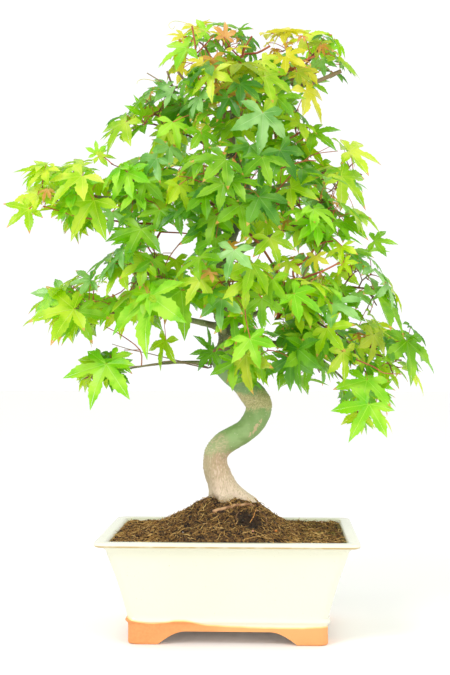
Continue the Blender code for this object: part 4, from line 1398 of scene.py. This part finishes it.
# The leaves that show, by tint. Each one: column and row of its stalk's end and how far
# back that is in millimetres, its length, the way it points in degrees round and up, and
# its roll
SHOWN_LEAVES = {
    "fresh": (
        (29, 209, -88, 31, -152, -30, 0), (51, 174, -62, 39, -169, 12, 21),
        (57, 190, -52, 34, -170, 5, 26), (98, 156, -60, 20, 5, 1, -5),
        (94, 200, -85, 50, -168, -50, 6), (126, 122, -50, 41, -172, -48, 25),
        (179, 185, -110, 31, -10, -64, -34), (331, 56, -15, 46, 21, -19, -24),
        (265, 76, -80, 38, 3, -26, -2), (276, 95, -78, 39, -139, 8, -17),
        (341, 176, -40, 46, 6, -44, -14), (355, 212, -20, 38, -4, -29, -36),
        (327, 328, -85, 33, -52, -45, 32), (244, 280, -120, 32, -17, -83, -29),
        (74, 309, -60, 52, -171, -5, 7), (122, 269, -70, 37, -154, -47, 31),
        (148, 294, -98, 30, 172, -36, 10), (100, 362, -42, 32, -172, -38, 6),
        (166, 340, -45, 35, 179, -67, 39), (270, 238, -100, 32, -45, -62, -10),
        (212, 268, -90, 30, -152, -26, 10), (214, 280, -98, 30, -125, -60, 0),
    ),
    "lime": (
        (82, 176, -92, 44, -149, -36, 16), (303, 38, -10, 34, -34, -21, 0),
        (349, 151, -20, 41, 10, -11, -10), (409, 370, 10, 34, -6, -48, -48),
        (343, 352, -65, 33, 10, -78, -25), (290, 262, -76, 23, -130, -62, 10),
        (342, 246, -68, 24, -110, -55, 30), (344, 262, -74, 17, -40, -60, 40),
        (262, 60, -68, 24, -20, -30, 0),
    ),
    "vivid": (
        (97, 154, -55, 16, 153, 81, 9), (143, 117, -30, 27, -147, 78, 48),
        (173, 122, -85, 30, -41, -66, -23), (187, 48, -40, 37, 176, -23, 10),
        (206, 32, -35, 26, 176, 5, -2), (331, 51, 0, 15, 27, 81, -9),
        (294, 294, -115, 36, -5, -28, -9), (367, 380, -50, 40, -117, -52, -1),
        (369, 404, -62, 44, -134, -54, -12), (250, 339, -125, 32, -28, -68, 0),
        (150, 296, -104, 66, -120, -66, 36), (150, 293, -98, 30, -20, -26, 0),
        (106, 364, -50, 53, -134, -54, 14), (112, 358, -40, 27, -12, -28, 0),
        (209, 260, -94, 26, -176, -8, 0),
    ),
    "mid": (
        (99, 218, -50, 24, -169, -27, 21), (239, 31, -20, 18, -37, 9, 0),
        (198, 87, -85, 20, -129, 14, -35), (312, 84, 0, 23, -35, -23, 0),
        (277, 97, -75, 34, -49, -34, 0), (201, 132, -105, 31, -8, -67, -29),
        (313, 133, -40, 34, -37, -26, 0), (344, 221, -30, 34, -33, -27, 0),
        (374, 241, 0, 27, -8, -1, -3), (374, 290, -30, 62, 14, -43, -36),
        (407, 341, 0, 50, -63, -66, -35), (380, 393, -40, 25, -57, 44, -14),
        (306, 348, -72, 45, -70, -76, -42), (273, 279, -110, 36, 179, -81, 49),
        (81, 298, -35, 25, -178, 39, 34), (141, 229, -85, 42, -118, -50, 4),
        (153, 260, -85, 28, -81, -82, -38), (181, 290, -92, 52, -66, -72, -16),
        (78, 312, -55, 38, -40, -55, 0), (233, 316, -100, 30, -70, -60, 0),
        (235, 362, -95, 30, -110, -68, 0), (259, 361, -86, 25, -55, -58, -15),
        (262, 157, -112, 34, -62, -55, 0), (202, 230, -90, 30, -100, -72, 0),
        (160, 210, -82, 26, -115, -55, 0), (216, 238, -100, 28, -95, -66, 0),
        (262, 298, -106, 32, -80, -70, 0), (240, 205, -118, 38, -60, -62, -20),
        (216, 216, -105, 34, -130, -60, 20),
    ),
    "blue_green": (
        (157, 158, -80, 32, 165, -44, 8), (168, 87, -40, 28, -177, -2, 15),
        (172, 93, -55, 22, -179, -13, 5), (208, 76, -80, 12, 4, 31, 27),
        (321, 60, -10, 22, -62, -60, 0), (263, 113, -112, 44, -97, -82, -34),
        (353, 257, -20, 29, -3, -25, -25), (333, 304, -70, 37, -34, -23, -1),
        (91, 280, -40, 27, -171, -8, 5), (63, 295, -20, 41, -152, -36, 0),
        (234, 250, -128, 33, -124, -64, 14), (222, 298, -108, 34, -105, -72, 24),
        (112, 212, -70, 26, -104, -60, 0),
    ),
    "yellow": (
        (183, 37, -20, 19, -177, 16, 12), (221, 36, -35, 16, -136, 14, 0),
        (271, 33, -30, 46, -8, 8, -44), (306, 90, -60, 40, 8, -54, -30),
        (316, 256, -70, 19, -80, -80, 20), (203, 62, -68, 20, -150, -30, 0),
        (252, 86, -86, 22, -70, -60, 10), (286, 56, -52, 28, -30, -26, 10),
        (236, 48, -50, 20, -70, -20, 0),
    ),
    "peach": (
        (225, 37, -45, 19, 71, 83, 30),
    ),
    "olive": (
        (226, 60, -75, 27, 10, -61, -30), (321, 42, -20, 22, -125, -58, 0),
        (374, 335, -50, 33, -102, -79, -48), (246, 355, -105, 41, -89, -73, 44),
        (231, 80, -84, 19, -60, -68, 10), (247, 70, -78, 19, -30, -40, 0),
        (297, 72, -50, 22, -10, -30, 0),
    ),
    "bronze": (
        (213, 58, -60, 25, -51, -57, 0), (213, 68, -78, 17, -125, -60, 0),
        (221, 88, -86, 17, -100, -74, -10), (240, 97, -94, 22, -105, -70, 0),
    ),
    "deep": (
        (280, 150, -105, 36, 8, -55, -6), (298, 349, -85, 44, -104, -78, 46),
        (210, 351, -50, 30, -117, 40, 12), (205, 223, -95, 28, -73, -84, -22),
        (213, 352, -68, 27, -140, -35, 12), (250, 145, -100, 30, -128, -60, 0),
        (132, 213, -72, 24, -60, -60, 0), (178, 212, -86, 28, -80, -55, 10),
        (290, 358, -82, 34, -95, -76, 0), (221, 182, -116, 36, -95, -60, 0),
        (259, 197, -116, 40, -25, -48, -10),
    ),
}

# The crown's outline and the gaps in it, in the photograph's pixels; each gap is round
CROWN_OUTLINE = (
    (205, 17), (226, 14), (256, 23), (312, 27), (334, 36), (354, 54), (362, 78), (345, 85),
    (320, 89), (300, 100), (294, 114), (308, 121), (324, 132), (340, 146), (364, 158), (375, 178),
    (371, 203), (385, 218), (389, 232), (400, 240), (396, 254), (378, 262), (394, 286),
    (404, 306), (412, 328), (441, 362), (430, 386), (424, 398), (404, 380), (396, 436),
    (340, 438), (332, 392), (272, 393), (250, 397), (224, 397), (222, 372), (188, 364),
    (160, 377), (141, 368), (131, 394), (100, 396), (86, 403), (72, 386), (72, 370), (90, 352),
    (66, 340), (46, 351), (43, 330), (20, 330), (22, 308), (42, 297), (83, 275), (110, 256),
    (86, 249), (60, 245), (58, 226), (50, 219), (26, 216), (3, 238), (-3, 210), (20, 196),
    (9, 174), (34, 167), (68, 158), (92, 154), (92, 128), (112, 118), (136, 108), (142, 92),
    (148, 78), (160, 62), (158, 41), (180, 20),
)
SKY_GAPS = (
    (168, 240, 13), (172, 263, 8), (118, 290, 8), (171, 320, 8), (205, 329, 14), (195, 246, 7),
    (281, 180, 9), (198, 152, 7), (256, 250, 7), (285, 247, 8), (290, 270, 9), (270, 313, 9),
    (279, 367, 10), (327, 151, 10), (335, 192, 10), (341, 277, 11), (349, 314, 8), (383, 312, 8),
    (207, 165, 5), (152, 210, 6), (245, 372, 4), (303, 368, 5), (260, 205, 4), (137, 147, 10),
    (124, 158, 7), (372, 283, 9), (361, 297, 6), (391, 319, 7), (303, 112, 6), (352, 195, 8),
    (345, 373, 7), (110, 330, 7), (183, 340, 9), (130, 152, 8), (142, 157, 6), (342, 163, 8),
    (176, 256, 8), (218, 325, 8), (218, 338, 8), (309, 263, 7), (326, 262, 7), (100, 246, 10),
    (112, 160, 7), (122, 154, 7), (116, 347, 7),
)


def spread(count, phase):
    """Directions spaced evenly over a sphere, one golden angle after another."""
    ways = []
    for k in range(count):
        height = 1 - 2 * (k + 0.5) / count
        ring = math.sqrt(1 - height * height)
        turn = phase + GOLDEN_ANGLE * k
        ways.append(Vector((ring * math.cos(turn), ring * math.sin(turn), height)))
    return ways


def stray(amount, rng):
    return Vector(rng.uniform(-amount, amount) for _ in range(3))


def crooked(points, amount, rng):
    """A slight zigzag from bud to bud, with both ends kept."""
    return [points[0], *(point + stray(amount, rng) for point in points[1:-1]), points[-1]]


def in_crown(point):
    """Whether a point, seen from the front, falls on the crown and not on the sky."""
    away = point - CAMERA_PLACE
    scale = FOCAL_PIXELS / away.dot(AHEAD)
    column, row = PHOTO_SIZE[0] / 2 + scale * away.dot(RIGHT), HORIZON_ROW - scale * away.z
    if any(math.hypot(column - c, row - r) < radius for c, r, radius in SKY_GAPS):
        return False
    crossed = False
    for (c, r), (d, s) in zip(CROWN_OUTLINE, CROWN_OUTLINE[1:] + CROWN_OUTLINE[:1]):
        if (r > row) != (s > row) and column < c + (d - c) * (row - r) / (s - r):
            crossed = not crossed
    return crossed


def branch_mass(name, space, line):
    """A mass's stem, from the bough's tip to past its middle, and the twigs on it."""
    rng = random.Random(name)
    start, centre = line["tip"], space["centre"]
    through = (centre - start).normalized()
    end = centre + through * room(space, through) * STEM_PAST_MIDDLE
    bend = start + line["way"] * (centre - start).length * 0.5
    spine = arc(start, bend, end, STEM_STEPS)
    count = FOLIAGE[name][2]
    twigs = []
    for way in spread(max(3, math.ceil(count / LEAVES_A_TWIG)), rng.uniform(0, 2 * math.pi)):
        tip = centre + way * room(space, way) * TWIG_SHARE
        nearest = min(range(3, STEM_STEPS + 1), key=lambda k: (spine[k] - tip).length)
        root = spine[max(nearest - FORK_BACK, FIRST_FORK)]
        if (tip - root).length > SHORTEST_TWIG:
            bend = root.lerp(tip, 0.5) + UP * (TWIG_ARCH * (tip - root).length)
            path = crooked(arc(root, bend, tip, TWIG_STEPS), TWIG_ZIGZAG, rng)
            twigs.append({"path": path, "leaves": []})
    girths = taper(line["radius"], TWIG_RADIUS, STEM_STEPS + 1)
    stem = (crooked(spine, STEM_ZIGZAG, rng), girths)
    return {"stem": stem, "twigs": twigs, "rng": rng, "count": count}


def on_blade(leaf, angle, reach):
    """A spot of a leaf's plane: degrees from its middle lobe, and share of its length."""
    bearing = math.radians(angle)
    side = leaf["axis"].cross(leaf["normal"])
    flat = leaf["axis"] * math.cos(bearing) + side * math.sin(bearing)
    return leaf["base"] + flat * reach * leaf["length"]


def blade_probe(leaf):
    """A plain outline of the blade, a little smaller, to keep leaves out of each other."""
    spots = [leaf["base"]]
    for angle, reach in LEAF_FAN:
        spots.append(on_blade(leaf, angle, reach * ELBOW_ROOM))
        spots.append(on_blade(leaf, angle + NOTCH_TURN, NOTCH_REACH * ELBOW_ROOM))
    return BVHTree.FromPolygons(spots, [(0, k, k + 1) for k in range(1, len(spots) - 1)])


def lobe_tips(leaf):
    sink = leaf["normal"] * leaf["length"] * TIP_DROOP
    return [on_blade(leaf, angle, reach * 1.04) - sink for angle, reach in LEAF_FAN]


def in_box(point):
    bounds = zip(cad_low, point, cad_high)
    return all(low + BOX_MARGIN < p < high - BOX_MARGIN for low, p, high in bounds)


def shown_leaf(tint, column, row, depth, length, round_way, up_way, roll):
    """A leaf where the photograph shows it, moved in only as far as the box needs."""
    level, climb = math.radians(round_way), math.radians(up_way)
    axis = Vector((math.cos(level), math.sin(level), 0)) * math.cos(climb) + UP * math.sin(climb)
    normal = (FACING - axis * FACING.dot(axis)).normalized()
    normal = Matrix.Rotation(math.radians(roll), 3, axis) @ normal
    base = from_photo(column, row, depth / 1000)
    leaf = {"base": base, "axis": axis, "normal": normal, "length": length / 1000, "tint": tint}
    tips = lobe_tips(leaf)
    for k in range(3):
        base[k] += max(cad_low[k] + BOX_MARGIN - min(tip[k] for tip in tips), 0)
        base[k] += min(cad_high[k] - BOX_MARGIN - max(tip[k] for tip in tips), 0)
    return leaf


def try_leaf(space, way, depth, holds, shrink, rng, placed):
    """A leaf whose blade lies about a point of the mass, and the twig it belongs to."""
    middle = space["centre"] + way * room(space, way) * depth
    from_axis = Vector((middle.x, middle.y, 0)).normalized()
    outward = Vector((way.x, way.y, 0)) * 0.6 + from_axis * 0.6
    across = outward.cross(UP)
    axis = outward * rng.uniform(0.3, 1.2) + across * rng.uniform(-1.1, 1.1)
    axis.z = rng.uniform(-1.1, -0.1) if way.z < 0.6 else rng.uniform(-0.6, 0.5)
    axis.normalize()
    facing = outward * rng.uniform(0.2, 1.2) + across * rng.uniform(-0.4, 0.4)
    facing.z = rng.uniform(0.25, 1.0)
    normal = (facing - axis * facing.dot(axis)).normalized()
    shrink *= 1 - TOP_SHRINK * ease(middle.z, *TOP_HEIGHTS)
    length = rng.uniform(*LEAF_LENGTH) * shrink
    base = middle - axis * length * BASE_SHARE
    hold = min(range(len(holds)), key=lambda k: (holds[k] - base).length)
    if not STALK_LENGTH[0] < (base - holds[hold]).length < STALK_LENGTH[1]:
        return None
    leaf = {"base": base, "axis": axis, "normal": normal, "length": length, "hold": hold}
    for tip in lobe_tips(leaf):
        if not (in_box(tip) and inside(space, tip, LEAF_REACH, -WALL_CROSSING)):
            return None
        if not (in_crown(tip) and in_crown(base.lerp(tip, 0.6))):
            return None
    probe = blade_probe(leaf)
    for other_base, other in placed:
        if (other_base - base).length < NEIGHBOUR and probe.overlap(other):
            return None
    placed.append((base, probe))
    return leaf


def grow_leaves(name, space, mass, placed):
    """Leaves all round a mass, each tried again and again, ever looser, until it fits."""
    rng = mass["rng"]
    holds = [twig["path"][-1] for twig in mass["twigs"]]
    for way in spread(round(LEAF_SHARE * mass["count"]), rng.uniform(0, 2 * math.pi)):
        for attempt in range(LEAF_TRIES):
            late = attempt / LEAF_TRIES
            turned = way + stray(mix(*LEAF_STRAY, late), rng)
            depth = rng.uniform(mix(*LEAF_DEPTH, late), LEAF_DEPTH[0])
            shrink = 1 - LEAF_SHRINK * late
            leaf = try_leaf(space, turned.normalized(), depth, holds, shrink, rng, placed)
            if leaf:
                leaf["spray"] = (name, leaf["hold"])
                mass["twigs"][leaf["hold"]]["leaves"].append(leaf)
                break


def hang_leaves(mass, wood, stalks):
    """Twiglets off each twig, with a stalk from their end to each of their leaves."""
    rng = mass["rng"]
    wood.append(mass["stem"])
    for path, own in ((twig["path"], twig["leaves"]) for twig in mass["twigs"]):
        if not own:
            continue
        wood.append((path, taper(TWIG_RADIUS, TWIG_RADIUS * TWIG_ROOT, TWIG_STEPS + 1)))
        tip = path[-1]
        own.sort(key=lambda leaf: math.atan2(leaf["base"].y - tip.y, leaf["base"].x - tip.x))
        for first in range(0, len(own), 2):
            pair = own[first : first + 2]
            middle = sum((leaf["base"] for leaf in pair), Vector()) / len(pair)
            start = path[FIRST_TWIGLET + (first // 2) % (len(path) - FIRST_TWIGLET)]
            node = start.lerp(middle, rng.uniform(*TWIGLET_SHARE))
            bend = start.lerp(node, 0.5) + UP * TWIGLET_ARCH
            girths = taper(TWIGLET_RADIUS, TWIGLET_RADIUS * 0.75, FORK_STEPS + 1)
            girths[-1] = TWIGLET_RADIUS * BUD_SWELL
            line = crooked(arc(start, bend, node, FORK_STEPS), TWIGLET_ZIGZAG, rng)
            wood.append((line, girths))
            for leaf in pair:
                reach = (leaf["base"] - node).length
                bend = node.lerp(leaf["base"], 0.5) + UP * (STALK_ARCH * reach)
                bend += leaf["normal"] * STALK_LEAN * reach
                stalks.append((arc(node, bend, leaf["base"], FORK_STEPS), STALK_GIRTHS))


masses = {name: branch_mass(name, spaces[name], lines[name]) for name in FOLIAGE}
twig_ends = []
for name, mass in masses.items():
    twig_ends += [(name, k, twig["path"][-1]) for k, twig in enumerate(mass["twigs"])]
placed = []
for leaf in (shown_leaf(tint, *row) for tint, rows in SHOWN_LEAVES.items() for row in rows):
    name, k, _ = min(twig_ends, key=lambda entry: (entry[2] - leaf["base"]).length)
    leaf["spray"] = (name, k)
    masses[name]["twigs"][k]["leaves"].append(leaf)
    placed.append((leaf["base"], blade_probe(leaf)))
for name, mass in masses.items():
    grow_leaves(name, spaces[name], mass, placed)
wood, stalks = [], []
for mass in masses.values():
    hang_leaves(mass, wood, stalks)

twigs = thread_mesh("twigs", wood)
twig_bark = speckled("twig_bark", (128, 66, 54), (152, 118, 78), 60.0, 0.55)
grow_with(twigs, threads, sides=6, finish=twig_bark)
seat(twigs, "bark", *[f"foliage_{name}" for name in FOLIAGE])
leaf_stalks = thread_mesh("leaf_stalks", stalks)
stalk_finish = speckled("red_stalk", (186, 72, 50), (214, 124, 76), 45.0, 0.45)
grow_with(leaf_stalks, threads, sides=4, finish=stalk_finish)
seat(leaf_stalks, "leaf")


# Bare twigs: red-brown shoots cut back by the grower, older stubs, and young shoots whose
# leaves have yet to open. Each one starts on the wood nearest to it.

# Each: kind, how far back its root and its end are in millimetres, radius at both in
# millimetres, and the pixels of the photograph that it runs through
BARE_TWIGS = (
    ("shoot", -30, -45, 1.2, 0.9, (198, 78), (198, 64), (196, 53), (195, 44), (192, 26)),
    ("shoot", -40, -50, 0.9, 0.7, (196, 54), (205, 45), (214, 35)),
    ("shoot", -20, -45, 1.2, 1.1, (243, 76), (241, 56), (257, 53), (270, 46)),
    ("shoot", -40, -50, 0.9, 0.8, (240, 57), (230, 47), (224, 37)),
    ("shoot", -42, -50, 0.9, 0.8, (242, 56), (246, 46), (252, 36)),
    ("shoot", -42, -44, 0.8, 0.7, (242, 54), (245, 43)),
    ("stub", -25, -30, 1.2, 1.0, (174, 90), (172, 85), (167, 71)),
    ("stub", -30, -32, 0.8, 0.6, (172, 86), (164, 83), (147, 73)),
    ("stub", -30, -30, 1.5, 1.4, (186, 84), (178, 72)),
    ("stub", -20, -20, 0.8, 0.7, (150, 106), (143, 96)),
    ("stub", -20, -15, 2.3, 2.2, (292, 84), (312, 83), (341, 71)),
    ("shoot", -30, -30, 1.4, 1.2, (292, 70), (302, 62), (315, 56)),
    ("stub", -20, -25, 0.9, 0.8, (226, 56), (221, 47), (216, 39)),
    ("tendril", -35, -45, 0.35, 0.22, (204, 31), (198, 28), (186, 23), (175, 21), (169, 24),
     (170, 28), (173, 29), (175, 26)),
    ("tendril", -30, -32, 0.45, 0.25, (166, 82), (156, 81), (144, 79), (138, 81), (137, 84)),
    ("shoot", -45, -75, 1.3, 0.6, (160, 226), (128, 223), (116, 221), (92, 219), (69, 214),
     (43, 206)),
    ("shoot", -75, -76, 0.6, 0.4, (45, 207), (45, 198)),
    ("stub", -10, -45, 0.9, 0.35, (208, 368), (171, 361), (151, 365), (122, 367)),
    ("stub", -12, -50, 0.8, 0.35, (204, 366), (190, 363), (175, 360), (151, 354), (132, 350),
     (112, 344)),
    ("shoot", -20, -35, 0.7, 0.4, (140, 350), (121, 335), (106, 327)),
    ("shoot", -112, -125, 0.7, 0.5, (243, 300), (246, 320), (250, 338)),
    ("shoot", -58, -80, 1.1, 0.8, (236, 88), (246, 94), (258, 103)),
    ("straw", -50, -76, 0.6, 0.35, (224, 94), (218, 80), (213, 67), (209, 52)),
    ("straw", -56, -80, 0.5, 0.3, (238, 88), (229, 76), (221, 64), (217, 54)),
    ("straw", -60, -84, 0.6, 0.35, (240, 92), (231, 88), (223, 81), (213, 78)),
    ("straw", -54, -76, 0.5, 0.3, (228, 84), (232, 70), (233, 58)),
    ("straw", -50, -74, 0.5, 0.3, (222, 84), (210, 82), (204, 76)),
    ("shoot", -20, -30, 0.6, 0.4, (138, 350), (124, 350)),
    ("shoot", -20, -35, 0.5, 0.35, (171, 359), (168, 349), (169, 343)),
    ("shoot", -45, -65, 1.4, 1.1, (250, 234), (261, 246), (278, 273), (288, 290)),
    ("shoot", -60, -75, 1.5, 0.8, (277, 318), (288, 290), (302, 279), (325, 270), (344, 260)),
    ("stub", -62, -65, 1.2, 0.9, (299, 285), (309, 265), (318, 254), (326, 241)),
    ("shoot", -62, -72, 1.2, 0.8, (293, 271), (305, 260), (320, 244), (333, 241)),
    ("stub", -40, -55, 1.3, 0.9, (296, 303), (320, 324), (338, 334), (352, 346), (357, 360)),
    ("shoot", -55, -50, 0.9, 0.4, (357, 360), (374, 367), (384, 373), (402, 374)),
    ("shoot", -50, -60, 0.9, 0.7, (272, 200), (292, 174)),
    ("shoot", -45, -50, 1.0, 0.6, (246, 166), (275, 169), (285, 167), (304, 161), (316, 161)),
    ("shoot", -48, -40, 0.8, 0.35, (304, 161), (315, 154), (338, 151)),
    ("shoot", -46, -40, 0.5, 0.3, (315, 154), (331, 146)),
    ("shoot", -55, -75, 0.8, 0.4, (190, 234), (183, 240), (172, 253), (165, 266), (161, 280)),
    ("shoot", -62, -68, 0.5, 0.35, (172, 253), (163, 253)),
    ("shoot", -50, -58, 0.7, 0.4, (130, 283), (121, 292), (108, 298), (103, 300)),
)
# Each kind: dark and light side, and roughness
TWIG_FINISHES = {
    "shoot": ((146, 58, 38), (186, 104, 62), 0.5),
    "stub": ((110, 84, 62), (150, 128, 98), 0.7),
    "straw": ((176, 112, 34), (214, 160, 70), 0.6),
    "tendril": ((186, 200, 96), (220, 206, 120), 0.5),
}

wood_points = [point for path, _ in wood for point in path]
wood_points += [point for line in lines.values() for point in line.get("points", [])]
wood_points += trunk_line(6)[0]
bare = {kind: [] for kind in TWIG_FINISHES}
for kind, back, end_back, radius, end_radius, *pixels in BARE_TWIGS:
    points = []
    for k, pixel in enumerate(pixels):
        points.append(from_photo(*pixel, mix(back, end_back, k / (len(pixels) - 1)) / 1000))
    root = min(wood_points, key=lambda point: (point - points[0]).length)
    path = [Vector(p) for p in smooth_path([tuple(p) for p in [root] + points], 3)]
    bare[kind].append((path, taper(radius / 1000, end_radius / 1000, len(path))))
    wood_points += path
for kind, (dark, light, roughness) in TWIG_FINISHES.items():
    piece = thread_mesh(f"bare_{kind}s", bare[kind])
    finish = speckled(f"{kind}_bark", dark, light, 80.0, roughness)
    grow_with(piece, threads, sides=8, finish=finish)
    seat(piece, "bark")


# Leaves: each spray takes one tint, from yellow-lime at the sunny top to deep green
# inside, and the tips of some have gone brown in the wind. The tints are partly the
# leaves' own colours and partly painted light and shade: paler outside, darker inside.

# Each tint: dark and light side of the blade, the light that comes through it, and how
# much of the sky it mirrors
TINTS = {
    "yellow": ((208, 208, 22), (240, 234, 90), (252, 245, 64), 0.4),
    "lime": ((158, 208, 2), (222, 238, 80), (234, 255, 30), 0.4),
    "vivid": ((114, 202, 6), (180, 234, 68), (196, 254, 30), 0.4),
    "fresh": ((132, 190, 0), (198, 226, 60), (210, 248, 18), 0.35),
    "mid": ((92, 156, 0), (152, 202, 48), (168, 234, 10), 0.35),
    "deep": ((46, 118, 4), (110, 168, 44), (132, 208, 16), 0.5),
    # This tint is the blade's own green with a pale blue-green side that is painted sheen, the
    # sky's reflection on glossy leaves.
    "blue_green": ((92, 164, 56), (170, 220, 130), (162, 230, 78), 0.8),
    "olive": ((132, 160, 8), (180, 194, 44), (206, 228, 36), 0.4),
    "bronze": ((184, 128, 36), (216, 168, 72), (240, 190, 60), 0.4),
    "peach": ((222, 146, 76), (244, 190, 116), (255, 205, 112), 0.4),
}
# The tints in the order they are dealt: each one's upper chance, and what being on the
# outside and being at the sunny top add to it. What is left over is deep. The paler
# tints outside are partly painted light, and the deep green inside partly painted shade.
TINT_CHANCES = (
    ("bronze", 0, 0, 0.14), ("olive", 0, 0, 0.36), ("yellow", 0, 0, 0.64),
    ("lime", 0.02, 0.22, 0.6), ("vivid", 0.08, 0.32, 0.6), ("fresh", 0.26, 0.38, 0.1),
    ("mid", 0.60, 0.20, 0), ("blue_green", 0.74, 0.14, 0),
)
SUNNY_HEIGHTS = (0.52, 0.63)
OUTER_REACH = (0.07, 0.19)
NEW_TINT_SHARE = 0.35
SCORCHED_SHARE = 0.25
CURLED_SHARE = 0.08
WITHERED_SHARE = 0.06
WITHERED_LENGTH = 0.42
RIB_GLOW = 240
RIB_PALENESS = 0.30


def tint_of(leaf, rng):
    """The spray's tint, by its height and by how deep it sits in the crown.

    The paler tints outside are partly painted light, the deep greens inside partly painted shade.
    """
    sunny = ease(leaf["base"].z, *SUNNY_HEIGHTS)
    # Leaves further out are dealt the paler tints, as painted light.
    outer = ease(leaf["base"].to_2d().length, *OUTER_REACH)
    chance = rng.random()
    for tint, share, outside, top in TINT_CHANCES:
        if chance < share + outside * outer + top * sunny:
            return tint
    return "deep"


def leaf_points(name, leaves, rng):
    """A point for each leaf, which says how its blade is turned, sized and shaped."""
    turns, sizes, variants, scorched = [], [], [], []
    for leaf in leaves:
        side = leaf["axis"].cross(leaf["normal"])
        turns += Matrix((side, leaf["axis"], leaf["normal"])).transposed().to_euler()
        sizes.append(leaf["length"])
        curled = leaf.get("withered") or rng.random() < CURLED_SHARE
        if curled:
            variant = FLAT_VARIANTS + rng.randrange(CURLED_VARIANTS)
        else:
            variant = rng.randrange(FLAT_VARIANTS)
        if "tint" in leaf:
            variant = 1 + 2 * rng.randrange(FLAT_VARIANTS // 2)
        variants.append(variant)
        scorched.append(rng.random() < SCORCHED_SHARE)
    mesh = bpy.data.meshes.new(name)
    mesh.from_pydata([tuple(leaf["base"]) for leaf in leaves], [], [])
    mesh.attributes.new("turn", "FLOAT_VECTOR", "POINT").data.foreach_set("vector", turns)
    mesh.attributes.new("size", "FLOAT", "POINT").data.foreach_set("value", sizes)
    mesh.attributes.new("variant", "INT", "POINT").data.foreach_set("value", variants)
    mesh.attributes.new("scorched", "BOOLEAN", "POINT").data.foreach_set("value", scorched)
    return add_object(name, mesh)


tint_rng = random.Random("tints")
by_tint = {tint: [] for tint in TINTS}
spray_tints = {}
for mass in masses.values():
    for leaf in (leaf for twig in mass["twigs"] for leaf in twig["leaves"]):
        spray = leaf["spray"]
        if spray not in spray_tints or tint_rng.random() < NEW_TINT_SHARE:
            spray_tints[spray] = tint_of(leaf, tint_rng)
        tint = leaf.get("tint", spray_tints[spray])
        if "tint" not in leaf and (tint == "bronze" or tint_rng.random() < WITHERED_SHARE):
            leaf["withered"], tint = True, tint_rng.choice(("peach", "bronze", "bronze"))
            leaf["length"] *= WITHERED_LENGTH
        by_tint[tint].append(leaf)
blades = leaf_templates()
setter = leaf_tree()
scorch = leaf_finish("scorched_tip", (206, 140, 62), (226, 184, 96), (240, 190, 84), 0.4, 0.6)
for tint, (dark, light, through, shine) in TINTS.items():
    piece = leaf_points(f"leaves_{tint}", by_tint[tint], tint_rng)
    finish = leaf_finish(f"leaf_{tint}", dark, light, through, shine)
    pale = tuple(mix(value, RIB_GLOW, RIB_PALENESS) for value in light)
    rib = leaf_finish(f"rib_{tint}", light, pale, through, shine, 0.4)
    grow_with(piece, setter, blades=blades, tint=finish, rib=rib, scorch=scorch)
    seat(piece, "leaf")
drop_group(blades)


# Floor and light: a white sweep lit from all round, with a soft key light from the upper
# left, as for a catalogue picture.

floor_finish = Finish("white_floor", 0.6)
floor_finish.shader.inputs["Base Color"].default_value = (0.95, 0.945, 0.92, 1)
BELOW_FEET = -0.0002
floor_corners = [(x, y, BELOW_FEET) for x, y in ((-6, -4), (6, -4), (6, 8), (-6, 8))]
floor = add_piece("floor", (floor_corners, [(0, 1, 2, 3)]), floor_finish.material)

world = bpy.data.worlds.new("studio")
world.use_nodes = True
world.node_tree.nodes["Background"].inputs["Color"].default_value = (1, 1, 1, 1)
world.node_tree.nodes["Background"].inputs["Strength"].default_value = 1.05
bpy.context.scene.world = world
bpy.context.scene.view_settings.view_transform = "Standard"


def add_light(name, place, target, size, power):
    data = bpy.data.lights.new(name, "AREA")
    data.size = size
    data.energy = power
    light = add_object(name, data)
    light.location = place
    light.rotation_euler = (Vector(target) - Vector(place)).to_track_quat("-Z", "Y").to_euler()


add_light("key", (-1.1, -1.5, 1.9), (0, 0, 0.35), 0.8, 22)
add_light("fill", (1.4, -1.2, 1.0), (0, 0, 0.3), 1.2, 8)
